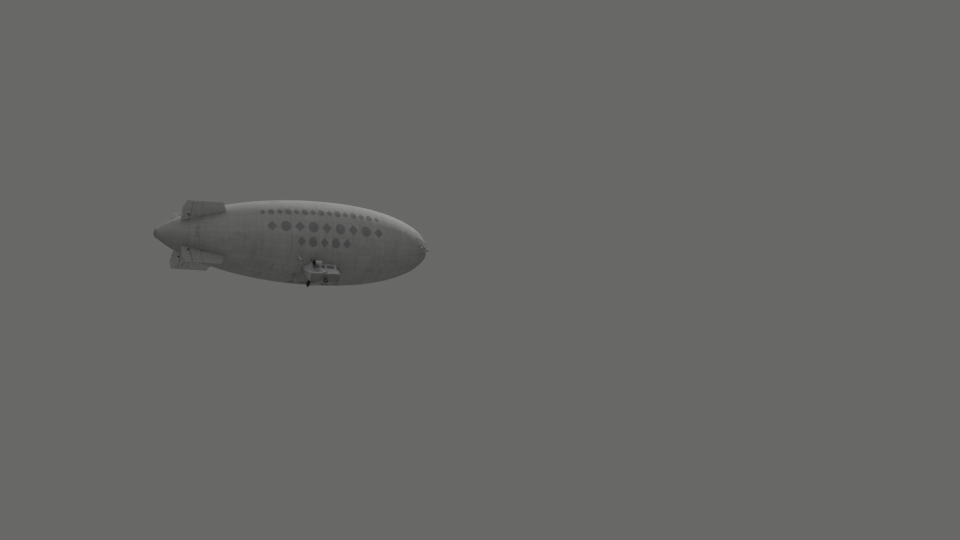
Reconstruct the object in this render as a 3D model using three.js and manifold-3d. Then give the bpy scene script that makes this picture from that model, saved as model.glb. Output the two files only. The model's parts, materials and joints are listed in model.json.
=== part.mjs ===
// A two-engined, non-rigid advertising airship with four fins set like a plus sign.
// Millimetres. +X points to the nose, +Y to port and +Z up. The origin is the centre of lift
// on the hull's axis. A "station" is a distance behind the nose tip, measured along the axis.
import * as THREE from "three";
import { mergeVertices } from "three/addons/utils/BufferGeometryUtils.js";
import Module from "manifold-3d";

const wasm = await Module();
wasm.setup();

// Driving dimensions
const SEAT = 0.3; // gap between pieces that rest on each other
const FAR = 50000; // how far a cutting box reaches where nothing bounds it
const HULL = {
  length: 38200, radius: 5650, widest: 16400, wall: 10,
  noseShape: 2.2, tailShape: 2, tailPower: 0.7, sternRadius: 620, sternDepth: 350,
  sides: 36, foreRings: 10, aftRings: 13, noseHole: 150,
};
const LIFT_STATION = 18000;
const BATTEN = { count: 16, length: 2600, width: 50, height: 25, dishStation: 90, bossStation: 400 };
const CONE = { flange: 260, neck: 90, length: 330, plate: 25, shoulder: 60, sides: 24 };

const FIN = {
  thickness: 180, edge: 40, bevel: 350,
  rootFront: 29200, rootHeight: 4350, sunk: 950, sweep: 0.55,
  tipRear: 34750, bulge: 35200, bulgeDrop: 1100,
  rootRear: 35000, rootRearHeight: 2000, footRear: 34900, footHeight: 1200,
  hinge: 34000, hingeGap: 14, noseGap: 4, rootGap: 40,
};
const LUG = {
  width: 40, slot: 60, eye: 42, half: 30, pin: 15, pinReach: 10, bore: 15.8, slotGap: 12,
  slotDepth: 200, boreFrom: 2000, boreTo: 7000, sides: 16, places: [0.13, 0.48, 0.84],
};
const HORN = { reach: 420, length: 260, thickness: 14, behindHinge: 120, aboveLug: 350 };
const FINS = [
  // name of fin, name of its moving surface, bearing from the top towards port, tip height above the axis
  { fin: "top_fin", surface: "upper_rudder", bearing: 0, tip: 4900 },
  { fin: "port_fin", surface: "port_elevator", bearing: 90, tip: 5700 },
  { fin: "bottom_fin", surface: "lower_rudder", bearing: 180, tip: 6000 },
  { fin: "starboard_fin", surface: "starboard_elevator", bearing: 270, tip: 5700 },
];
const STAY = {
  radius: 8, patchStation: 33100, patch: 420, patchDepth: 600, patchHeight: 26, footTurn: 0.026,
  footSpread: 0.3, footSunk: 12, reach: 0.85, finStations: [32700, 33600],
};
// One cluster between each fin and the next one round, in the order of the fins.
const STAY_NAMES = ["stays_upper_port", "stays_lower_port", "stays_lower_starboard", "stays_upper_starboard"];

const CAR = {
  front: 4100, noseStart: 3300, rear: 0, tailEnd: -900, tailHalfWidth: 170, halfWidth: 750, wall: 40,
  bottom: -7750, floorTop: -7690, roofBottom: -5790, top: -5750, edge: 250, chin: 450,
  sill: -6650, lintel: -5950, glass: 6, glassLap: 50, fairing: 400,
  tailLip: 650, tailRise: 550, tailRun: 350, noseSegments: 10, edgeSegments: 3,
};
const DOOR = {
  rear: 1300, front: 2050, bottom: -7500, gap: 6, header: 60, windowMargin: 110, glassLap: 30,
  hingeOut: 16, hingeInset: 250, barrel: 12, barrelHalf: 60, pin: 6, pinBore: 6.5,
  arm: 14, armHalf: 9, armReach: 66, armStart: 20, boss: 10, bearing: 2,
  strap: 80, strapHalf: 50, strapThickness: 8,
};
const PORT_WINDOWS = [[200, 1100], [1250, 2150], [2300, 3150]]; // from and to along X
const STARBOARD_WINDOWS = [[200, 1150], [2200, 3150]];
const WINDSHIELDS = [[-52, 480], [0, 520], [52, 480]]; // bearing in degrees and width
const LAMP = { height: -7120, radius: 95, out: 70, sunk: 30, hood: 22, bowl: 80 };

const CHAIR = {
  width: 440, pan: 360, cushion: 90, back: 640, legRear: 190, legFront: 170, legInset: 60,
  panRear: 210, panFront: 230, backRear: 270, backFront: 190, backStart: 20, overlap: 10,
};
const SEATS = [
  // name, place along X, place along Y, width
  ["pilot_seat", 2650, 340, CHAIR.width],
  ["copilot_seat", 2650, -340, CHAIR.width],
  ["passenger_bench", 420, 0, 1240],
];
const PANEL = {
  rear: 3420, front: 3500, halfWidth: 430, bottom: -7080, top: -6720,
  legRear: 3410, legFront: 3490, legHalf: 110, overlap: 20,
};
const HANDWHEEL = {
  x: 2760, height: 480, radius: 250, rim: 16, spoke: 10, spokes: 3, hub: 35, hubBack: 70, hubFront: 30,
  standHalf: 30, standTop: 20,
};
const PEDALS = {
  rear: 3150, thickness: 25, places: [210, 470], halfWidth: 60, bottom: 60, top: 260,
  barX: 3162, barHeight: 80, barRadius: 18, barFrom: 150, barTo: 530,
  footRear: 3130, footFront: 3195, footFrom: 300, footTo: 380, footTop: 100,
};
const RAIL = {
  out: 90, below: 70, radius: 17, steps: 46, sides: 6, foot: 12, footY: 430, pad: 45, padHeight: 20,
  start: 150, startIn: 120, startBelow: 20, bend: 260, footStations: [420, 1250, 2250, 3100],
  noseAhead: 640, noseOut: 0.66,
};
const STEP = {
  rear: 1400, front: 1950, hangers: [1480, 1870], rod: 14, drop: 16, padFrom: -490, padTo: -390,
  padHeight: 20, padInset: 20, inner: -870, outer: -1010, tread: 30, upper: -7765, lower: -8080,
  hangerY: -930, hangerRadius: 13,
};

const GEAR = {
  x: 1900, trail: 90, axleZ: -8290, tyre: 310, tyreWidth: 190, rim: 190, hub: 60, hubHalf: 110,
  axle: 18, axleBore: 18.7, axleEnd: 5, stem: 30, stemBore: 31, stemTop: -7790, boreTop: -7775,
  housingBottom: -7900, housingRadius: 85, flange: 210,
  crown: 45, crownGap: 5, crownHalf: 70, legOut: 125, leg: 20, legFoot: 45, legTip: 50, sides: 28,
};
const ENGINE = {
  x: 250, y: 1750, z: -6750, nacelle: 290, cylinders: 7, sides: 24,
  caseRadius: 190, flange: 230, flangeDepth: 40, caseEdge: 60, caseShoulder: 230, caseLength: 330,
  caseNose: 90,
  shaft: 30, shaftBore: 31, shaftDepth: 110, shaftInto: 90,
};
const CYLINDER = {
  x: -150, foot: 100, barrel: 46, fin: 62, finThickness: 20, fins: [215, 265, 315],
  head: 365, headRadius: 57, top: 440, topRadius: 44, sides: 8,
};
const EXHAUST = {
  x: -80, ring: 330, radius: 28, sides: 6, steps: 20, pipe: 32, pipeForward: 60, pipeDown: 500,
};
const PROPELLER = {
  radius: 1000, pitch: 1900, constantWithin: 150, behindCase: 75, steps: 10,
  rootHalf: 40, bladeHalf: 65, rootThick: 30, tipThinner: 23, tipTaper: 0.9,
  hub: 85, hubBack: 50, hubGap: 6, spinner: 70, spinnerTip: 25, spinnerEnd: 130, sides: 20,
};
const OUTRIGGER = {
  frames: [[250, 310], [560, 620]], // from and to along X, ahead of the nacelle's rear face
  collar: 22, strut: 26, strutEnd: 12, across: 0.5, along: 0.86, top: -5870, bottom: -7350,
  plate: 14, plateHalf: 45, plateRun: 20, brace: 12, braceGap: 14, wallReach: 10,
};
const SCOOP = {
  radius: 190, steps: 14, sides: 10,
  path: [[-1750, 1600, -5000], [-1750, 1640, -5600], [-1700, 1680, -6150], [-1400, 1700, -6450]],
};
const VALVES = [
  // name, station, bearing from the top towards port in degrees, radius, height above the hull
  ["gas_valve", 21000, 55, 330, 70],
  ["front_air_valve", 9500, 180, 380, 90],
  ["rear_air_valve", 24500, 180, 380, 90],
];
const VALVE = { sunk: 200, cap: 0.62, capHeight: 30, sides: 20 };

// Materials
const paint = (color, roughness, metalness) => {
  return new THREE.MeshStandardMaterial({ color, roughness, metalness });
};
const LOOK = {
  dope: paint(0xb9bbb7, 0.55, 0.35),
  aluminium: paint(0xa9acad, 0.4, 0.8),
  darkMetal: paint(0x3d3f41, 0.5, 0.7),
  paintwork: paint(0x9ea1a0, 0.45, 0.3),
  glass: paint(0x8fa3a8, 0.1, 0),
  rubber: paint(0x1c1c1c, 0.85, 0),
  leather: paint(0x4a3526, 0.6, 0),
  wood: paint(0x6d4a2b, 0.5, 0),
  wire: paint(0x5a5c5e, 0.4, 0.8),
};

// Solids
function solid(geometry) {
  const bare = geometry.clone();
  bare.deleteAttribute("normal");
  bare.deleteAttribute("uv");
  const merged = mergeVertices(bare, 1e-3);
  const vertProperties = new Float32Array(merged.attributes.position.array);
  const triVerts = new Uint32Array(merged.index.array);
  const made = new wasm.Manifold(new wasm.Mesh({ numProp: 3, vertProperties, triVerts }));
  if (made.volume() > 0) return made;
  for (let i = 0; i < triVerts.length; i += 3) {
    [triVerts[i + 1], triVerts[i + 2]] = [triVerts[i + 2], triVerts[i + 1]];
  }
  return new wasm.Manifold(new wasm.Mesh({ numProp: 3, vertProperties, triVerts }));
}

const join = (...solids) => solids.flat().reduce((sum, one) => sum.add(one));
const cut = (body, ...tools) => tools.flat().reduce((rest, tool) => rest.subtract(tool), body);
const common = (body, ...others) => others.reduce((rest, other) => rest.intersect(other), body);

function addMesh(parent, name, body, material) {
  const { vertProperties, triVerts } = body.getMesh();
  const geometry = new THREE.BufferGeometry();
  geometry.setAttribute("position", new THREE.BufferAttribute(vertProperties, 3));
  geometry.setIndex(new THREE.BufferAttribute(triVerts, 1));
  const mesh = new THREE.Mesh(geometry.toNonIndexed(), material);
  mesh.geometry.computeVertexNormals();
  mesh.name = name;
  parent.add(mesh);
}

// A box between two opposite corners, given in any order.
function box(one, other) {
  const size = one.map((value, i) => Math.abs(other[i] - value));
  const middle = one.map((value, i) => (value + other[i]) / 2);
  return solid(new THREE.BoxGeometry(...size).translate(...middle));
}

// A straight rod between two points, which tapers when a second radius is given.
function rod(from, to, radius, sides = 12, endRadius = radius) {
  const a = new THREE.Vector3(...from);
  const b = new THREE.Vector3(...to);
  const along = b.clone().sub(a);
  const geometry = new THREE.CylinderGeometry(endRadius, radius, along.length(), sides);
  const turn = new THREE.Quaternion().setFromUnitVectors(new THREE.Vector3(0, 1, 0), along.normalize());
  geometry.applyQuaternion(turn);
  return solid(geometry.translate(...a.add(b).multiplyScalar(0.5).toArray()));
}

// A round surface about the Y axis, from a profile of [height, radius] points.
function lathe(profile, sides) {
  return new THREE.LatheGeometry(profile.map(([height, r]) => new THREE.Vector2(r, height)), sides);
}

// The same about the X axis, from a profile of [x, radius] points, as a solid.
const turned = (profile, sides) => solid(lathe(profile, sides).rotateZ(-Math.PI / 2));

const outline = (points) => new THREE.Shape(points.map(([u, v]) => new THREE.Vector2(u, v)));

// A shape drawn in X and Y, between two heights.
function prism(shape, z0, z1, curveSegments = CAR.noseSegments) {
  const geometry = new THREE.ExtrudeGeometry(shape, { depth: z1 - z0, bevelEnabled: false, curveSegments });
  return solid(geometry.translate(0, 0, z0));
}

// A shape drawn in X and Z, centred on the XZ plane.
function sidePrism(shape, width, curveSegments = CAR.edgeSegments) {
  const geometry = new THREE.ExtrudeGeometry(shape, { depth: width, bevelEnabled: false, curveSegments });
  return solid(geometry.translate(0, 0, -width / 2).rotateX(Math.PI / 2));
}

// A shape drawn in Y and Z, between two places along X.
function crossPrism(shape, x0, x1, curveSegments = CAR.edgeSegments) {
  const geometry = new THREE.ExtrudeGeometry(shape, { depth: x1 - x0, bevelEnabled: false, curveSegments });
  return solid(geometry.rotateX(Math.PI / 2).rotateZ(Math.PI / 2).translate(x0, 0, 0));
}

// A round tube along a smooth curve through the points.
function tube(points, radius, steps, sides) {
  const path = new THREE.CatmullRomCurve3(points.map((p) => new THREE.Vector3(...p)));
  const section = new THREE.Shape().absarc(0, 0, radius, 0, 2 * Math.PI);
  const options = { steps, extrudePath: path, curveSegments: sides / 2, bevelEnabled: false };
  return solid(new THREE.ExtrudeGeometry(section, options));
}

const ring = (count, make) => Array.from({ length: count }, (_, i) => make((2 * Math.PI * i) / count));

// Hull
const stationX = (station) => LIFT_STATION - station;

// The hull tapers to a blunt, rounded stern that blends into the taper.
function hullRadius(station) {
  const { length, radius, widest, noseShape, tailShape, tailPower, sternRadius, sternDepth } = HULL;
  if (station <= widest) return radius * Math.sqrt(1 - ((widest - station) / widest) ** noseShape);
  const taper = radius * (1 - ((station - widest) / (length - widest)) ** tailShape) ** tailPower;
  const closing = Math.max(0, 1 - (length - station) / sternDepth);
  const stern = sternRadius * Math.sqrt(1 - closing ** 2);
  return (taper ** 4 + stern ** 4) ** (1 / 4);
}

// Stations of the hull's rings, close together at both ends.
function ringStations() {
  const { widest, length, foreRings, aftRings } = HULL;
  const fore = Array.from({ length: foreRings }, (_, i) => {
    return widest * (1 - Math.cos((Math.PI / 2) * ((i + 1) / foreRings)));
  });
  const aft = Array.from({ length: aftRings - 1 }, (_, i) => {
    return widest + (length - widest) * Math.sin((Math.PI / 2) * ((i + 1) / aftRings));
  });
  return [...fore, ...aft];
}

// The hull's [x, radius] outline between its two ends, moved outwards by an offset.
function hullProfile(offset) {
  return ringStations().map((station) => {
    const slope = (hullRadius(station + 1) - hullRadius(station - 1)) / 2;
    const scale = offset / Math.hypot(1, slope);
    return [stationX(station) + slope * scale, hullRadius(station) + scale];
  });
}

function hullSolid(offset) {
  const nose = [stationX(0) + offset, 0];
  const tail = [stationX(HULL.length) - offset, 0];
  return turned([nose, ...hullProfile(offset), tail], HULL.sides);
}

const hullSkin = hullSolid(0);
const hullSeat = hullSolid(SEAT);

function buildEnvelope(parent) {
  const hole = rod([stationX(HULL.widest), 0, 0], [FAR, 0, 0], HULL.noseHole, CONE.sides);
  addMesh(parent, "envelope", cut(hullSkin, hullSolid(-HULL.wall), hole), LOOK.dope);
}

// Battens spread the pull of the mooring cone over the nose, from a dish and boss at its centre.
function buildNose(parent) {
  const layer = cut(hullSolid(BATTEN.height), hullSeat);
  const base = stationX(0) + BATTEN.height + 1;
  const rear = stationX(BATTEN.length);
  const slabs = ring(BATTEN.count / 2, (turn) => {
    const slab = new THREE.BoxGeometry(base - rear, 2 * HULL.radius, BATTEN.width).rotateX(turn / 2);
    return solid(slab.translate((base + rear) / 2, 0, 0));
  });
  const dish = box([stationX(BATTEN.dishStation), -FAR, -FAR], [FAR, FAR, FAR]);
  const bore = rod([rear, 0, 0], [FAR, 0, 0], HULL.noseHole, CONE.sides);
  const boss = rod([stationX(BATTEN.bossStation), 0, 0], [base - SEAT, 0, 0], CONE.flange, CONE.sides);
  const battens = cut(join(layer.intersect(join(slabs, dish)), cut(boss, hullSeat)), bore);
  addMesh(parent, "nose_battens", battens, LOOK.aluminium);

  const { flange, neck, length, plate, shoulder } = CONE;
  const profile = [
    [base, 0], [base, flange], [base + plate, flange],
    [base + plate + shoulder, neck + shoulder], [base + length, neck], [base + length, 0],
  ];
  addMesh(parent, "mooring_cone", turned(profile, CONE.sides), LOOK.darkMetal);
}

// Tail. Each fin is drawn as the top one, and its group turns it to its bearing.
function finSlab(tip) {
  const tipFront = FIN.rootFront + (tip - FIN.rootHeight) * FIN.sweep;
  const insideFront = FIN.rootFront - FIN.sunk * FIN.sweep;
  const shape = outline([
    [stationX(insideFront), FIN.rootHeight - FIN.sunk], [stationX(tipFront), tip],
    [stationX(FIN.tipRear), tip], [stationX(FIN.bulge), tip - FIN.bulgeDrop],
    [stationX(FIN.rootRear), FIN.rootRearHeight], [stationX(FIN.footRear), FIN.footHeight],
  ]);
  const geometry = new THREE.ExtrudeGeometry(shape, {
    depth: FIN.edge, bevelThickness: (FIN.thickness - FIN.edge) / 2,
    bevelSize: FIN.bevel, bevelOffset: -FIN.bevel, bevelSegments: 1,
  });
  return solid(geometry.translate(0, 0, -FIN.edge / 2).rotateX(Math.PI / 2));
}

// Heights of the three hinges on one fin.
function hingeHeights(tip) {
  const root = hullRadius(FIN.hinge) + FIN.rootGap;
  return LUG.places.map((part) => root + part * (tip - root));
}

// All that lies behind a place along X.
const behind = (x) => box([-FAR, -FAR, -FAR], [x, FAR, FAR]);

function fixedFin(tip) {
  const hingeX = stationX(FIN.hinge);
  const rearX = hingeX + FIN.thickness / 2 + FIN.hingeGap;
  const lugs = hingeHeights(tip).map((height) => {
    const low = height - LUG.width / 2;
    const high = height + LUG.width / 2;
    const arm = box([hingeX, -LUG.half, low], [rearX + LUG.half, LUG.half, high]);
    return join(arm, rod([hingeX, 0, low], [hingeX, 0, high], LUG.eye, LUG.sides));
  });
  const bore = rod([hingeX, 0, LUG.boreFrom], [hingeX, 0, LUG.boreTo], LUG.bore, LUG.sides);
  return cut(join(cut(finSlab(tip), behind(rearX)), lugs), bore, hullSeat);
}

function movingSurface(tip) {
  const hingeX = stationX(FIN.hinge);
  const nose = rod([hingeX, 0, 0], [hingeX, 0, FAR], FIN.thickness / 2 - FIN.noseGap, 20);
  const surface = cut(finSlab(tip).intersect(join(behind(hingeX), nose)), hullSolid(FIN.rootGap));
  const slots = hingeHeights(tip).map((height) => box(
    [hingeX - LUG.eye - LUG.slotGap, -FAR, height - LUG.slot / 2],
    [hingeX + LUG.slotDepth, FAR, height + LUG.slot / 2],
  ));
  const pins = hingeHeights(tip).map((height) => {
    const half = LUG.slot / 2 + LUG.pinReach;
    return rod([hingeX, 0, height - half], [hingeX, 0, height + half], LUG.pin, LUG.sides);
  });
  const hornX = hingeX - HORN.behindHinge;
  const hornHeight = hingeHeights(tip)[0] + HORN.aboveLug;
  const hornShape = outline([[hornX, -HORN.reach], [hornX, HORN.reach], [hornX - HORN.length, 0]]);
  return join(cut(surface, slots), pins, prism(hornShape, hornHeight, hornHeight + HORN.thickness));
}

function buildTail(parent) {
  for (const { fin, surface, bearing, tip } of FINS) {
    const group = new THREE.Group();
    group.rotation.x = -THREE.MathUtils.degToRad(bearing);
    addMesh(group, fin, fixedFin(tip), LOOK.dope);
    addMesh(group, surface, movingSurface(tip), LOOK.dope);
    parent.add(group);
  }
}

// A patch on the hull midway between a fin and the next one round, with its wires to both.
function stayCluster(index) {
  const quarter = Math.PI / 2;
  const at = (angle, station, radius) => [
    stationX(station), radius * Math.sin(angle), radius * Math.cos(angle),
  ];
  const middle = (index + 0.5) * quarter;
  const block = new THREE.BoxGeometry(STAY.patch, STAY.patch, STAY.patchDepth).rotateX(-middle);
  block.translate(...at(middle, STAY.patchStation, hullRadius(STAY.patchStation)));
  const patch = cut(hullSolid(STAY.patchHeight), hullSeat).intersect(solid(block));
  const wires = [0, 1].flatMap((next) => STAY.finStations.map((station) => {
    const { tip } = FINS[(index + next) % FINS.length];
    const side = next ? -1 : 1;
    const height = hullRadius(station) + STAY.reach * (tip - hullRadius(station));
    const angle = (index + next) * quarter + side * Math.atan2(FIN.thickness / 2 + STAY.radius, height);
    const towards = Math.sign(station - STAY.patchStation);
    const footStation = STAY.patchStation + towards * STAY.patch * STAY.footSpread;
    const foot = at(middle - side * STAY.footTurn, footStation, hullRadius(footStation) - STAY.footSunk);
    return rod(foot, at(angle, station, height), STAY.radius, 6);
  }));
  return cut(join(patch, wires), hullSeat);
}

function buildStays(parent) {
  STAY_NAMES.forEach((name, index) => addMesh(parent, name, stayCluster(index), LOOK.wire));
}

// Car
function carPlan(inset) {
  const width = CAR.halfWidth - inset;
  const rear = CAR.rear - inset;
  const shape = new THREE.Shape();
  shape.moveTo(rear, -width);
  shape.lineTo(CAR.noseStart, -width);
  shape.absellipse(CAR.noseStart, 0, CAR.front - CAR.noseStart - inset, width, -Math.PI / 2, Math.PI / 2);
  shape.lineTo(rear, width);
  return shape;
}

// The car's section across X, with both bottom edges rounded.
function carSection(inset) {
  const width = CAR.halfWidth - inset;
  const low = CAR.bottom + inset;
  const radius = CAR.edge - inset;
  const shape = new THREE.Shape();
  shape.moveTo(-width, 0);
  shape.lineTo(-width, low + radius);
  shape.absarc(radius - width, low + radius, radius, Math.PI, 1.5 * Math.PI);
  shape.absarc(width - radius, low + radius, radius, 1.5 * Math.PI, 2 * Math.PI);
  shape.lineTo(width, 0);
  return shape;
}

// The car's outline from the side, with its chin rounded.
function carProfile(inset) {
  const front = CAR.front - inset;
  const low = CAR.bottom + inset;
  const radius = CAR.chin - inset;
  const shape = new THREE.Shape();
  shape.moveTo(CAR.rear - inset, 0);
  shape.lineTo(CAR.rear - inset, low);
  shape.absarc(front - radius, low + radius, radius, -Math.PI / 2, 0);
  shape.lineTo(front, 0);
  return shape;
}

// The car's body without its tail, smaller by an inset all round, so that two of them make a wall.
function carForm(inset) {
  const plan = prism(carPlan(inset), CAR.bottom, CAR.top);
  const section = crossPrism(carSection(inset), CAR.rear - inset, CAR.front);
  return common(plan, section, sidePrism(carProfile(inset), 2 * CAR.halfWidth));
}

const carBody = carForm(0);
const carShell = cut(carBody, carForm(CAR.wall));

function fairingPlan() {
  const shape = carPlan(0);
  shape.lineTo(CAR.tailEnd, CAR.tailHalfWidth);
  shape.lineTo(CAR.tailEnd, -CAR.tailHalfWidth);
  return shape;
}

// The part of the car's wall between the floor and the roof.
const wallLow = CAR.floorTop + SEAT;
const wallHigh = CAR.roofBottom - SEAT;
const wallBetween = (x0, y0, x1, y1) => carShell.intersect(box([x0, y0, wallLow], [x1, y1, wallHigh]));

function sidePanel(side, windows) {
  const panel = wallBetween(CAR.rear, 0, CAR.noseStart - SEAT, side * FAR);
  return cut(panel, windows.map(([x0, x1]) => box([x0, 0, CAR.sill], [x1, side * FAR, CAR.lintel])));
}

// Height limits of the door leaf, and its two hinges on the starboard side.
const doorTop = CAR.roofBottom - DOOR.header;
const doorLow = DOOR.bottom + DOOR.gap;
const doorHigh = doorTop - DOOR.gap;
const hingeAxis = [DOOR.front - DOOR.gap, -CAR.halfWidth - DOOR.hingeOut];
const doorHinges = [doorLow + DOOR.hingeInset, doorHigh - DOOR.hingeInset];

// The arms and pins on the side panel that carry the door.
function doorPins() {
  const [x, y] = hingeAxis;
  return doorHinges.map((z) => {
    const low = z + DOOR.barrelHalf + DOOR.bearing;
    const high = low + DOOR.arm;
    return join(
      rod([x, y, low], [x, y, high], DOOR.boss, 16),
      rod([x, y, z - DOOR.barrelHalf + DOOR.armStart], [x, y, high - 1], DOOR.pin, 16),
      box([x, y - DOOR.armHalf, low], [x + DOOR.armReach, y + DOOR.armHalf, high]),
      box([x + DOOR.armStart, y - DOOR.armHalf, low], [x + DOOR.armReach, 5 - CAR.halfWidth, high]),
    );
  });
}

function starboardSide() {
  const way = box([DOOR.rear, 0, DOOR.bottom], [DOOR.front, -FAR, doorTop]);
  return join(cut(sidePanel(-1, STARBOARD_WINDOWS), way), doorPins());
}

function sideGlass(side, from, to) {
  const outer = side * (CAR.halfWidth - CAR.wall - SEAT);
  return box(
    [from - CAR.glassLap, outer, CAR.sill - CAR.glassLap],
    [to + CAR.glassLap, outer - side * CAR.glass, CAR.lintel + CAR.glassLap],
  );
}

// The landing lamp's bowl, open to the front, on the chin of the car.
function lampBowl() {
  const { height, radius, out, sunk, hood, bowl } = LAMP;
  const front = CAR.front + out;
  const outside = rod([CAR.front - sunk, 0, height], [front, 0, height], radius, CONE.sides);
  return cut(outside, rod([front - hood, 0, height], [FAR, 0, height], bowl, CONE.sides));
}

function buildCabin(parent) {
  const floor = carBody.intersect(box([-FAR, -FAR, -FAR], [FAR, FAR, CAR.floorTop]));
  const roof = carBody.intersect(box([-FAR, -FAR, CAR.roofBottom], [FAR, FAR, FAR]));
  addMesh(parent, "car_floor", floor, LOOK.paintwork);
  addMesh(parent, "car_roof", roof, LOOK.paintwork);
  addMesh(parent, "port_side", sidePanel(1, PORT_WINDOWS), LOOK.paintwork);
  addMesh(parent, "starboard_side", starboardSide(), LOOK.paintwork);
  addMesh(parent, "port_glass", sideGlass(1, PORT_WINDOWS[0][0], PORT_WINDOWS[2][1]), LOOK.glass);
  const [rearWindow, frontWindow] = STARBOARD_WINDOWS;
  addMesh(parent, "starboard_rear_glass", sideGlass(-1, ...rearWindow), LOOK.glass);
  addMesh(parent, "starboard_front_glass", sideGlass(-1, ...frontWindow), LOOK.glass);

  const reach = 2 * (CAR.front - CAR.noseStart);
  const openings = WINDSHIELDS.map(([bearing, width]) => {
    const block = new THREE.BoxGeometry(reach, width, CAR.lintel - CAR.sill);
    block.translate(reach / 2, 0, (CAR.lintel + CAR.sill) / 2).rotateZ(THREE.MathUtils.degToRad(bearing));
    return solid(block.translate(CAR.noseStart, 0, 0));
  });
  const nose = cut(wallBetween(CAR.noseStart, -FAR, FAR, FAR), openings);
  addMesh(parent, "car_nose", join(nose, lampBowl()), LOOK.paintwork);

  const glassInset = CAR.wall + SEAT;
  const pane = cut(carForm(glassInset), carForm(glassInset + CAR.glass));
  const paneLimits = box(
    [CAR.noseStart + 10, -FAR, CAR.sill - CAR.glassLap], [FAR, FAR, CAR.lintel + CAR.glassLap],
  );
  addMesh(parent, "windshield", pane.intersect(paneLimits), LOOK.glass);

  const tailStart = CAR.rear - SEAT;
  const tailSide = outline([
    [tailStart, CAR.bottom], [tailStart, CAR.top], [CAR.tailEnd, CAR.top],
    [CAR.tailEnd, CAR.top - CAR.tailLip], [CAR.tailEnd + CAR.tailRun, CAR.bottom + CAR.tailRise],
  ]);
  const tail = common(
    sidePrism(tailSide, 2 * CAR.halfWidth), prism(fairingPlan(), CAR.bottom, CAR.top),
    crossPrism(carSection(0), CAR.tailEnd, CAR.rear),
  );
  addMesh(parent, "car_tail", tail, LOOK.paintwork);

  const fairing = cut(prism(fairingPlan(), CAR.top + SEAT, CAR.top + CAR.fairing), hullSeat);
  addMesh(parent, "car_fairing", fairing, LOOK.dope);
}

function buildDoor(parent) {
  const rear = DOOR.rear + DOOR.gap;
  const front = DOOR.front - DOOR.gap;
  const outer = -CAR.halfWidth;
  const inner = outer + CAR.wall;
  const panel = box([rear, outer, doorLow], [front, inner, doorHigh]);
  const from = rear + DOOR.windowMargin;
  const to = front - DOOR.windowMargin;
  const hole = box([from, -FAR, CAR.sill], [to, 0, CAR.lintel]);
  const [x, y] = hingeAxis;
  const hinges = doorHinges.flatMap((z) => [
    rod([x, y, z - DOOR.barrelHalf], [x, y, z + DOOR.barrelHalf], DOOR.barrel, 16),
    box(
      [x - DOOR.strap, y - DOOR.strapThickness, z - DOOR.strapHalf], [x - 1, outer + 5, z + DOOR.strapHalf],
    ),
  ]);
  const bores = doorHinges.map((z) => {
    const half = DOOR.barrelHalf + DOOR.barrel;
    return rod([x, y, z - half], [x, y, z + half], DOOR.pinBore, 16);
  });
  addMesh(parent, "door", cut(join(cut(panel, hole), hinges), bores), LOOK.paintwork);
  const glass = box(
    [from - DOOR.glassLap, inner + SEAT, CAR.sill - DOOR.glassLap],
    [to + DOOR.glassLap, inner + SEAT + CAR.glass, CAR.lintel + DOOR.glassLap],
  );
  addMesh(parent, "door_glass", glass, LOOK.glass);
}

// A seat on its box, with its cushion and back, drawn from its middle.
function seat(x, y, width) {
  const half = width / 2;
  const leg = half - CHAIR.legInset;
  const pan = wallLow + CHAIR.pan;
  const { panRear, panFront, backRear, backFront } = CHAIR;
  return join(
    box([x - CHAIR.legRear, y - leg, wallLow], [x + CHAIR.legFront, y + leg, pan]),
    box([x - panRear, y - half, pan - CHAIR.overlap], [x + panFront, y + half, pan + CHAIR.cushion]),
    box([x - backRear, y - half, pan + CHAIR.backStart], [x - backFront, y + half, pan + CHAIR.back]),
  );
}

// The hand wheel beside the pilot's seat that works the elevators, on its stand.
function handwheelSolid() {
  const { x, height, radius, rim, spoke, spokes, hub, hubBack, hubFront, standHalf, standTop } = HANDWHEEL;
  const z = wallLow + height;
  const hoop = new THREE.TorusGeometry(radius, rim, 6, 24).rotateX(Math.PI / 2).translate(x, 0, z);
  const bars = ring(2 * spokes, (turn) => {
    return rod([x, 0, z], [x + radius * Math.cos(turn), 0, z + radius * Math.sin(turn)], spoke, 8);
  });
  return join(
    solid(hoop), bars, rod([x, -hubBack, z], [x, hubFront, z], hub),
    box([x - standHalf, -hubBack, wallLow], [x + standHalf, -standHalf, z + standTop]),
  );
}

function pedalsSolid() {
  const { rear, thickness, places, halfWidth, bottom, top, barX, barHeight, barRadius } = PEDALS;
  const { footRear, footFront, footFrom, footTo, footTop } = PEDALS;
  const pads = places.map((y) => {
    return box([rear, y - halfWidth, wallLow + bottom], [rear + thickness, y + halfWidth, wallLow + top]);
  });
  const barZ = wallLow + barHeight;
  return join(
    pads, rod([barX, PEDALS.barFrom, barZ], [barX, PEDALS.barTo, barZ], barRadius, 10),
    box([footRear, footFrom, wallLow], [footFront, footTo, wallLow + footTop]),
  );
}

function buildInterior(parent) {
  for (const [name, x, y, width] of SEATS) addMesh(parent, name, seat(x, y, width), LOOK.leather);
  const panel = join(
    box([PANEL.rear, -PANEL.halfWidth, PANEL.bottom], [PANEL.front, PANEL.halfWidth, PANEL.top]),
    box(
      [PANEL.legRear, -PANEL.legHalf, wallLow], [PANEL.legFront, PANEL.legHalf, PANEL.bottom + PANEL.overlap],
    ),
  );
  addMesh(parent, "instrument_panel", panel, LOOK.darkMetal);
  addMesh(parent, "elevator_wheel", handwheelSolid(), LOOK.wood);
  addMesh(parent, "rudder_pedals", pedalsSolid(), LOOK.darkMetal);
}

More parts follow.
